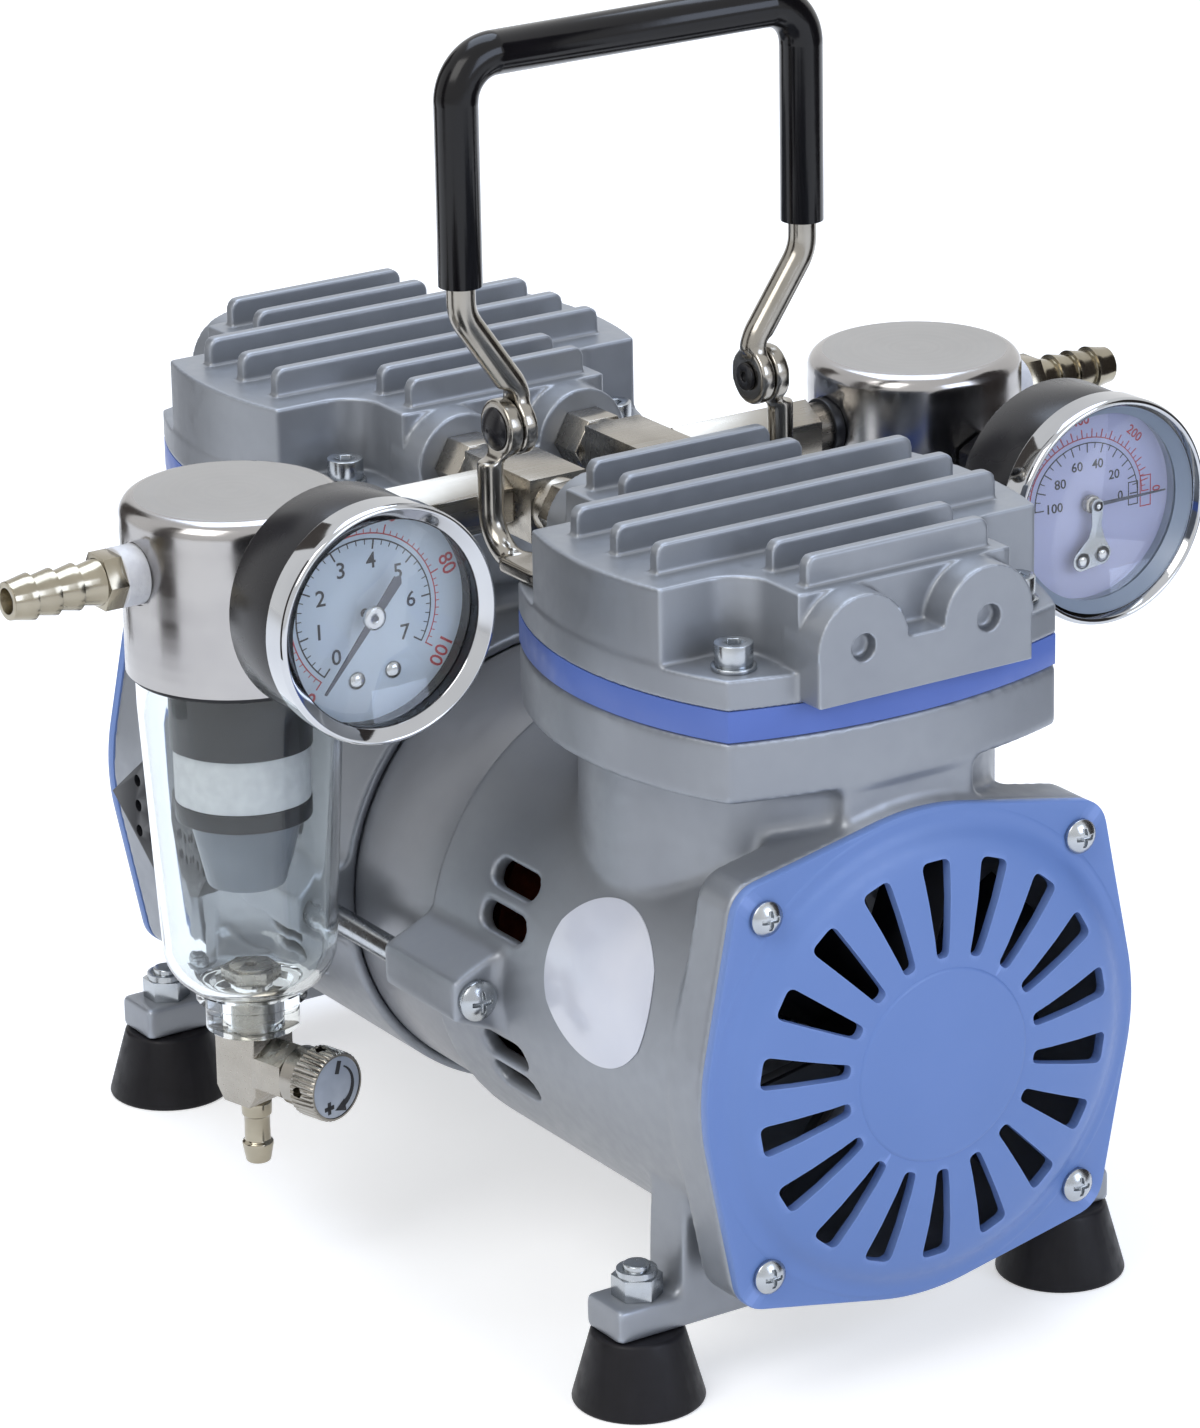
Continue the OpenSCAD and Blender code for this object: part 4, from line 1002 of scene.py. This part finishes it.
@dataclass
class WaterTraps(SubAssembly):
    """Caps, clear bowls, filters and drain valves."""

    trap_y: float = 93.5
    knob_turn: float = 15.0
    knob_z: float = 53.3
    face_at: float = 26.0
    face_r: float = 7.3
    face_thick: float = 0.25
    face_drawn: float = 6.1  # radius that the disc's marks are drawn for
    grip_r: float = 8.3
    knurl_from: float = 8.0
    knurl_deep: float = 0.42
    teeth: int = 40
    holes_at: float = 21.6
    hole_r: float = 1.3
    stem_r: float = 5.05
    flats: int = 16
    flat_deep: float = 0.16
    cap_top: float = 189.9
    baffle_step: float = 114.3
    # Middle of the round base of a bowl, with its outer and inner radius
    base: Spot = (8.0, 83.0)
    base_radii: Spot = (12.0, 10.0)
    # Half section of a drain barb: collar, plain neck and one ridge at the tip
    barb: tuple[Spot, ...] = (
        (1.5, 28.0), (2.7, 28.0), (2.95, 28.4), (3.65, 32.2), (3.65, 32.9), (3.0, 33.4),
        (3.0, 39.4), (3.5, 39.8), (3.6, 43.0), (3.0, 43.4), (3.0, 47.4), (1.5, 47.4),
        (1.5, 36.0))

    def build(self) -> None:
        """Builds both traps."""
        caps = softened("filter_caps", CAP_SIDE, 1.3, 4)
        second_finish(caps, CAP_TOP, lambda face: (
            face.normal.z > 0.99 and face.center.z > self.cap_top * MM))
        for side, name in SIDES:
            turned(f"bowl_{name}", self.bowl_outline(), self.on_axis(side), UPWARDS, BOWL,
                   "filter_bowls", steps=160, crisp=25, ripple=self.draw_flats)
        softened("filter_holders", DARK_NYLON, 0.4)
        softened("filter_elements", SINTER, 0.4)
        baffles = softened("filter_baffles", DARK_NYLON, 0.4)
        second_finish(baffles, SMOKED, lambda face: face.center.z < self.baffle_step * MM)
        softened("drain_bodies", NICKEL, 0.4)
        for side, name in SIDES:
            turned(f"drain_barb_{name}", rounded(self.barb, 0.25, 2), self.on_axis(side),
                   UPWARDS, NICKEL_TURNED, "drain_barbs", steps=64)
        for side, name in SIDES:
            self.knob(side, name)
            self.knob_face(side, name)

    def on_axis(self, side: int, height: float = 0.0) -> Point:
        """A point on a trap's upright axis."""
        return (0, side * self.trap_y, height)

    def knob_axis(self, side: int) -> Vector:
        """The way a drain knob points, a little towards the pump's middle."""
        turn = math.radians(self.knob_turn)
        return Vector((math.cos(turn), -side * math.sin(turn), 0))

    def bowl_outline(self) -> list[Spot]:
        """Half section of a clear bowl: neck with its collar, round base, tapered wall, spigot."""
        neck = [(self.stem_r, 62.0), (10.4, 62.0), (10.8, 62.4), (10.8, 68.6), (12.4, 69.0),
                (12.8, 69.4), (12.8, 71.6), (12.4, 72.0)]
        wall = [(23.3, 141.0), (23.4, 148.6), (22.0, 148.8), (22.0, 157.0), (20.0, 157.0),
                (20.0, 148.0), (21.3, 141.0)]
        return (neck + arc_points(self.base, self.base_radii[0], -56, 0, 10) + wall
                + arc_points(self.base, self.base_radii[1], 0, -90, 12) + [(self.stem_r, 73.0)])

    def draw_flats(self, angle: float, radius: float, height: float) -> float:
        """The faint flats that the mould's core leaves down the inside of the wall."""
        if not 85 < height < 147 or radius > 21.6:
            return 0.0
        return self.flat_deep * abs(math.sin(self.flats * angle / 2))

    def knob(self, side: int, name: str) -> None:
        """Turns a drain knob: plain collar, knurled grip, recess for its disc, four cross holes.

        Args:
            side: -1 for the trap at -Y, 1 for the one at +Y.
            name: "left" or "right".
        """
        axis, spot = self.knob_axis(side), self.on_axis(side, self.knob_z)
        recess = self.face_r + 0.15
        section = [(0, 8.0), (1.95, 8.0), (1.95, 14.6), (6.6, 14.6), (7.1, 14.9), (7.1, 18.6),
                   (7.9, 19.2), (self.grip_r, 19.4), (self.grip_r, 25.8), (7.9, 26.4),
                   (recess, 26.4), (recess, self.face_at), (0, self.face_at)]
        grip = lathe(f"drain_knob_{name}_turned", section, spot, tuple(axis), 240, self.knurl)
        middle = tuple(Vector(spot) + axis * self.holes_at)
        across = axis.cross(Vector(UPWARDS))
        hole = circle(self.hole_r, 20)
        cutter = prisms("cross_holes", [(axis_frame(middle, tuple(way)), hole) for way in (
            UPWARDS, (0, 0, -1), across, -across)], 5.0, 12.0)
        carve(grip, cutter)
        bpy.data.objects.remove(cutter)
        shade(grip, 30)
        dress(grip, NICKEL_WIRE, "drain_knob_" + name)

    def knurl(self, angle: float, radius: float, _height: float) -> float:
        """Straight knurl of the grip; the finer real one is drawn with few teeth so it shows."""
        if radius < self.knurl_from:
            return 0.0
        return -self.knurl_deep * (0.5 + 0.5 * math.cos(self.teeth * angle)) ** 2

    def knob_face(self, side: int, name: str) -> None:
        """Puts the printed disc on a drain knob: less at the top, an arrow round to more.

        Args:
            side: -1 for the trap at -Y, 1 for the one at +Y.
            name: "left" or "right".
        """
        axis = self.knob_axis(side)
        spot = Vector(self.on_axis(side, self.knob_z))
        tied = {"body": f"{name}_knob", "slot": "nickel_plate"}
        edge = rounded([(0, 0), (self.face_r, 0), (self.face_r, self.face_thick),
                        (0, self.face_thick)], 0.08, 2)
        turned(f"drain_knob_{name}_face", edge, tuple(spot + axis * self.face_at), tuple(axis),
               KNOB_FACE, steps=64, **tied)
        across = Vector(UPWARDS).cross(axis)
        face = Matrix((across, UPWARDS, axis)).transposed().to_4x4()
        front = Matrix.Translation(spot + axis * (self.face_at + self.face_thick))
        marks = Marks(front @ face @ Matrix.Scale(self.face_r / self.face_drawn, 4), 0.06)
        marks.line((0.1, 2.7), (0.9, 5.2), 1.1)
        steps, start, sweep = 16, 28, 132
        for i in range(steps):
            a, b = (start + sweep * (i + k) / steps for k in (0, 1.03))
            marks.band(a, b, 4.3, 0.16 + 0.5 * i / steps)
        marks.patch([(1.9, -2.9), (-0.6, -4.6), (2.4, -5.5)])
        marks.line((-3.4, -3.7), (-0.9, -3.7), 0.85)
        marks.line((-2.15, -2.45), (-2.15, -4.95), 0.85)
        dress(marks.piece(f"drain_knob_{name}_marks"), BLACK_INK, **tied)


@dataclass(frozen=True)
class Scale:
    """One printed scale of a dial; lengths in millimetres, numbers as printed."""

    line_r: float
    line_width: float
    steps: int
    every: int  # each such tick is a long one
    long: Point  # inner radius, outer radius and width
    short: Point
    numbers: range
    whole: float  # what the full sweep reads
    number_r: float
    number_size: float
    slanted: bool = False  # the numbers follow the scale round
    line_share: float = 1.0
    box: Point | None = None  # middle, half width and half height of a frame across the scale
    box_line: float = 0.24

    def print_on(self, marks: Marks, start: float, sweep: float) -> None:
        """Prints the scale.

        Args:
            marks: takes the print.
            start: angle of the zero in degrees, clockwise from the top.
            sweep: degrees from there to the end.
        """
        marks.arc(self.line_r, start, start + sweep * self.line_share, self.line_width)
        for i in range(self.steps + 1):
            kind = self.short if i % self.every else self.long
            marks.tick(start + sweep * i / self.steps, *kind)
        for number in self.numbers:
            angle = start + sweep * number / self.whole
            marks.figure(str(number), clock(self.number_r, angle), self.number_size,
                         angle if self.slanted else 0.0)
        if self.box:
            middle, half, tall = self.box
            reach = half + self.box_line / 2
            for x in (middle - half, middle + half):
                marks.line((x, -tall), (x, tall), self.box_line)
            for y in (-tall, tall):
                marks.line((middle - reach, y), (middle + reach, y), self.box_line)


@dataclass(frozen=True)
class Gauge:
    """What sets one gauge apart; lengths in millimetres."""

    name: str
    center: Point
    sink: float  # how deep the printed face lies behind the CAD dial's
    paper: Finish
    well: Finish
    inner: float  # inner radius of the spacer between dial and lens
    lip: float  # radius of the bezel's opening
    hub: tuple[Spot, ...]
    hub_finish: Finish
    rivets: tuple[Point, ...]  # to the right, up and radius
    rivet_low: float
    start: float
    sweep: float
    black: Scale
    red: Scale


PRESSURE = Gauge(
    "pressure", (60.7, -94.5, 178.0), 2.8, DIAL_BLUE, BLACK_ENAMEL, 23.2, 23.2,
    ((0, 1.0), (0.6, 1.0), (0.65, 1.55), (2.3, 1.55), (2.7, 1.2), (2.7, 0.4), (0, 0.4)),
    BRIGHT, ((-2.6, -14.1, 2.0), (6.0, -13.4, 2.0)), -2.8, -140.0, 263.0,
    Scale(15.5, 0.3, 35, 5, (13.4, 15.6, 0.35), (14.4, 15.6, 0.2), range(8), 7, 10.9, 3.3),
    Scale(16.7, 0.25, 50, 10, (16.6, 18.6, 0.3), (16.6, 17.6, 0.18), range(0, 101, 20), 100,
          20.9, 3.3, True))
VACUUM = Gauge(
    "vacuum", (68.0, 94.5, 169.0), 1.6, DIAL_LILAC, PALE_WELL, 21.9, 24.5,
    ((0, 0.75), (0.9, 0.75), (1.0, 0.45), (1.9, 0.45), (2.1, 0.2), (2.1, -0.9), (0, -0.9)),
    NICKEL, ((-3.7, -12.6, 2.0), (1.9, -11.9, 2.0), (0.6, -0.2, 1.3)), 1.15, 90.0, -180.0,
    Scale(13.5, 0.22, 20, 2, (11.4, 13.6, 0.26), (12.3, 13.6, 0.2), range(0, 101, 20), 100,
          8.8, 2.1, box=(12.3, 1.25, 2.6)),
    Scale(14.7, 0.2, 38, 2, (14.6, 16.6, 0.24), (14.6, 15.7, 0.18), range(0, 601, 200), 760,
          18.6, 2.1, True, 0.987, (15.7, 1.4, 3.5)))


@dataclass
class Gauges:
    """Pressure and vacuum gauge: cases, bezels, lenses, dials and pointers."""

    case_r: float = 26.05
    dial_r: float = 24.4
    bezel_r: float = 27.0
    rim: float = 0.4
    gap: float = 0.02  # between a piece and the printed face that it stands on
    # The thin vacuum pointer, and the necks of the link below it, from hub to foot and back
    needle: tuple[Spot, ...] = (
        (0.3, 0.55), (3.2, 0.42), (20.2, 0.16), (20.2, -0.16), (3.2, -0.42), (0.3, -0.55))
    neck: tuple[Spot, ...] = ((-1.0, -4.8), (-1.8, -7.4), (2.5, -7.8), (1.7, -4.8))
    post: Spot = (-0.8, -12.2)

    def build(self) -> None:
        """Builds both gauges."""
        softened("gauge_cases", BLACK_ENAMEL, 0.5)
        softened("gauge_lenses", LENS, 0.2)
        for gauge in (PRESSURE, VACUUM):
            low, cup = -gauge.sink, self.dial_r - self.rim
            outline = rounded([(1.0, low - 0.6), (self.dial_r, low - 0.6), (self.dial_r, 0),
                               (cup, 0), (cup, low), (1.0, low)], 0.15, 3)
            turned(gauge.name + "_dial", outline, gauge.center, OUTWARDS, gauge.paper,
                   "gauge_dials")
        for gauge in (PRESSURE, VACUUM):
            self.bezel(gauge)
        self.movement()
        for gauge in (PRESSURE, VACUUM):
            for colour, ink, scale in (("black", BLACK_INK, gauge.black),
                                       ("red", RED_INK, gauge.red)):
                marks = Marks(self.face(gauge, gauge.sink))
                scale.print_on(marks, gauge.start, gauge.sweep)
                dress(marks.piece(f"{gauge.name}_scale_{colour}"), ink, body="housing",
                      slot="dial_white")

    def face(self, gauge: Gauge, depth: float = 0.0) -> Matrix:
        """Matrix of a face that deep in a gauge: X to the viewer's right, Y up, Z outwards."""
        x, y, z = gauge.center
        axes = Matrix(((0, 0, 1), (1, 0, 0), (0, 1, 0))).to_4x4()
        return Matrix.Translation((x - depth, y, z)) @ axes

    def bezel(self, gauge: Gauge) -> None:
        """Spins a bezel: short skirt, rolled front, cone in to its lip; two sleeves inside."""
        rim, lip = self.bezel_r, gauge.lip
        ring = rounded([(self.case_r, 1.0), (rim - 0.2, 1.0), (rim, 1.3), (rim, 7.2),
                        (rim - 0.4, 8.1), (rim - 1.0, 8.4), (rim - 1.6, 8.0), (lip + 0.1, 6.5),
                        (lip, 5.9), (self.case_r, 5.9)], 0.6, 4)
        turned(gauge.name + "_bezel", ring, gauge.center, OUTWARDS, CHROME, "gauge_bezels",
               steps=128, crisp=50)
        low, inner = -gauge.sink + self.gap, gauge.inner
        for part, outline in (
                ("spacer", [(inner, low), (inner + 0.25, 1.45), (23.9, 1.45), (23.9, low)]),
                ("well", [(inner + 0.35, 3.05), (lip - 0.05, 5.9), (lip - 0.05, 6.3),
                          (25.9, 6.3), (25.9, 3.05)])):
            turned(f"{gauge.name}_{part}", rounded(outline, 0.15, 2), gauge.center, OUTWARDS,
                   gauge.well, steps=128, body="housing", slot="black_case")

    def movement(self) -> None:
        """Pointers with their hubs, the rivets and the vacuum gauge's link."""
        softened("pressure_pointer", POINTER, 0.05)
        for gauge in (PRESSURE, VACUUM):
            turned(gauge.name + "_hub", rounded(gauge.hub, 0.12, 2), gauge.center, OUTWARDS,
                   gauge.hub_finish, steps=64, body=gauge.name + "_needle", slot="pointer_dark")
        place = self.face(VACUUM)
        needle = from_faces("vacuum_needle_wire", *plate(self.needle, place, 0.5, 0.8))
        shade(needle)
        dress(needle, POINTER, "vacuum_pointer")
        for gauge in (PRESSURE, VACUUM):
            x, y, z = gauge.center
            low = gauge.rivet_low
            for number, (right, up, size) in enumerate(gauge.rivets):
                dome = rounded([(0, low + 1.15), (size * 0.55, low + 1.0),
                                (size * 0.9, low + 0.55), (size, low + self.gap),
                                (0, low + self.gap)], 0.5, 4)
                turned(f"{gauge.name}_rivet_{number}", dome, (x, y + right, z + up), OUTWARDS,
                       BRIGHT, "gauge_links", steps=48, crisp=50)
        link = from_faces("vacuum_link", *plate(self.link_outline(), place, 0.9, 1.2))
        bevel(link, 0.12, 2)
        shade(link)
        dress(link, ZINC, "gauge_links")
        low = -VACUUM.sink + self.gap
        x, y, z = VACUUM.center
        turned("vacuum_link_post", [(0, low), (2.4, low), (2.4, 0.92), (0, 0.92)],
               (x, y + self.post[0], z + self.post[1]), OUTWARDS, BRIGHT, "gauge_links", steps=48)

    def link_outline(self) -> list[Spot]:
        """Outline of the pressed link: round top by the hub, narrow neck, broad round foot."""
        left, right, top = ((right, up) for right, up, _ in VACUUM.rivets)
        return (arc_points(top, 1.7, -20, 200, 12) + list(self.neck[:2])
                + arc_points(left, 2.5, 120, 262, 12) + arc_points(right, 2.5, 262, 400, 12)
                + list(self.neck[2:]))


class Fasteners(SubAssembly):
    """Screws, washers, studs and nuts."""

    plain = (("head_screws", ZINC, 0.3), ("head_washers", ZINC, 0.2), ("foot_nuts", ZINC, 0.3),
             ("foot_studs", ZINC, 0.3))


class Feet(SubAssembly):
    """Four moulded rubber feet."""

    plain = (("rubber_feet", RUBBER, 0.9, 4),)


class Trim(SubAssembly):
    """Oval label, vent cover and cord gland."""

    plain = (("side_label", OVAL_FILM, 0.05), ("vent_cover", DARK_NYLON, 0.4),
             ("cord_gland", DARK_NYLON, 0.4))


@dataclass
class Studio:
    """Plain pale floor, soft light and the photograph's camera."""

    floor_half: float = 6.0
    floor_glow: float = 0.5
    fill: float = 0.42
    sensor: float = 36.0
    eye: Point = (1.147748, -0.736204, 0.611598)
    right: Point = (0.546628, 0.8371864, -0.0177988)
    up: Point = (-0.2760973, 0.2002589, 0.9400355)
    forward: Point = (-0.7905492, 0.5089355, -0.340612)
    lens: float = 156.182
    # Name, place, what it faces, side length in metres, watts and colour
    lamps: tuple[tuple[str, Point, Point, float, float, str], ...] = (
        ("key_softbox", (0.5, -1.3, 1.5), (0, 0, 0.1), 1.1, 14.5, "#fffdfa"),
        ("front_softbox", (1.7, 0.5, 0.9), (0, 0, 0.1), 0.9, 11.0, "#d6e4ff"),
        ("top_softbox", (-0.5, 0.3, 1.9), (0, 0, 0.1), 1.3, 21.0, "#d9e8ff"),
    )
    # Name, direction in degrees, distance, width and height in metres, and colour
    flags: tuple[tuple[str, float, float, float, float, str], ...] = (
        ("right_flag", 62.0, 0.46, 0.34, 0.6, "#3f3b3a"),
        ("left_flag", -98.0, 0.46, 0.14, 0.6, "#4a4442"),
        ("rear_flag", -160.0, 0.5, 0.22, 0.6, "#55504d"),
    )

    def build(self) -> None:
        """Builds floor, world, lamps and camera."""
        self.floor()
        self.world()
        for name, place, aim, size, power, colour in self.lamps:
            lamp = bpy.data.lights.new(name, "AREA")
            lamp.shape = "SQUARE"
            lamp.size = size
            lamp.energy = power
            lamp.color = linear(colour)[:3]
            holder = bpy.data.objects.new(name, lamp)
            bpy.context.scene.collection.objects.link(holder)
            holder.location = place
            aim_at = Vector(aim) - Vector(place)
            holder.rotation_euler = aim_at.to_track_quat("-Z", "Y").to_euler()
            holder.visible_camera = False
        for row in self.flags:
            self.flag(*row)
        self.camera()

    def sheet(self, name: str, corners: Iterable[Sequence[float]]) -> bpy.types.Object:
        """Makes one flat face of four corners in metres."""
        mesh = bpy.data.meshes.new(name)
        mesh.from_pydata([tuple(c) for c in corners], [], [(0, 1, 2, 3)])
        return new_object(name, mesh)

    def flag(self, name: str, turn: float, distance: float, width: float, height: float,
             colour: str) -> None:
        """Stands a grey card beside the pump, seen only in its polished metal.

        Args:
            name: the card's name.
            turn: direction from the pump in degrees, counted from +X towards +Y.
            distance: metres from the pump's middle.
            width: metres.
            height: metres.
            colour: what the metal shows.
        """
        t = math.radians(turn)
        middle = Vector((math.cos(t), math.sin(t), 0)) * distance
        across = Vector((-math.sin(t), math.cos(t), 0)) * width / 2
        up = Vector((0, 0, height))
        card = self.sheet(name, (middle - across, middle + across, middle + across + up,
                                 middle - across + up))
        grey = bpy.data.materials.new(name)
        tree = bare_tree(grey)
        glow = add(tree, "Emission", {"Color": linear(colour)})
        add(tree, "OutputMaterial", {}, {"Surface": glow.outputs[0]})
        card.data.materials.append(grey)
        for kind in ("camera", "diffuse", "transmission", "shadow", "volume_scatter"):
            setattr(card, "visible_" + kind, False)

    def floor(self) -> None:
        """A plain pale floor that keeps the pump's shadow."""
        half = self.floor_half
        floor = self.sheet("floor", ((-half, -half, 0), (half, -half, 0), (half, half, 0),
                                     (-half, half, 0)))
        paper = bpy.data.materials.new("white_studio_paper")
        tree = bare_tree(paper)
        shader = add(tree, "BsdfPrincipled", {"Base Color": linear("#e9eaec"), "Roughness": 0.9,
                                              "Emission Color": linear("#ffffff")})
        glow = add(tree, "Math", {"operation": "MULTIPLY", 1: self.floor_glow},
                   {0: seen_rays(tree)})
        tree.links.new(glow.outputs[0], shader.inputs["Emission Strength"])
        add(tree, "OutputMaterial", {}, {"Surface": shader.outputs[0]})
        floor.data.materials.append(paper)

    def world(self) -> None:
        """A white backdrop to the eye, in metal and through glass, and a soft grey fill."""
        world = bpy.data.worlds.new("soft_studio")
        bpy.context.scene.world = world
        tree = bare_tree(world)
        level = add(tree, "MapRange", {"To Min": self.fill, "To Max": 1.0},
                    {"Value": seen_rays(tree)})
        back = add(tree, "Background", {"Color": linear("#ffffff")},
                   {"Strength": level.outputs[0]})
        add(tree, "OutputWorld", {}, {"Surface": back.outputs[0]})

    def camera(self) -> None:
        """The photograph's camera, with its long side upright."""
        lens = bpy.data.cameras.new("photo_camera")
        lens.sensor_fit = "VERTICAL"
        lens.sensor_height = self.sensor
        lens.lens = self.lens
        lens.clip_start = 0.05
        lens.clip_end = 50
        eye = bpy.data.objects.new("photo_camera", lens)
        bpy.context.scene.collection.objects.link(eye)
        turn = Matrix((self.right, self.up, tuple(-c for c in self.forward))).transposed()
        eye.matrix_world = Matrix.Translation(self.eye) @ turn.to_4x4()
        bpy.context.scene.camera = eye


def main() -> None:
    """Builds every sub-assembly in order."""
    logging.basicConfig(level=logging.INFO, format="%(name)s %(message)s")
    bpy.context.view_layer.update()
    bpy.context.scene.view_settings.view_transform = "Standard"
    for part in (Studio(), Castings(), FanCovers(), MotorCore(), Handle(), Manifold(),
                 WaterTraps(), Gauges(), Fasteners(), Feet(), Trim()):
        log.info("building %s", type(part).__name__)
        part.build()


if __name__ == "__main__":
    main()
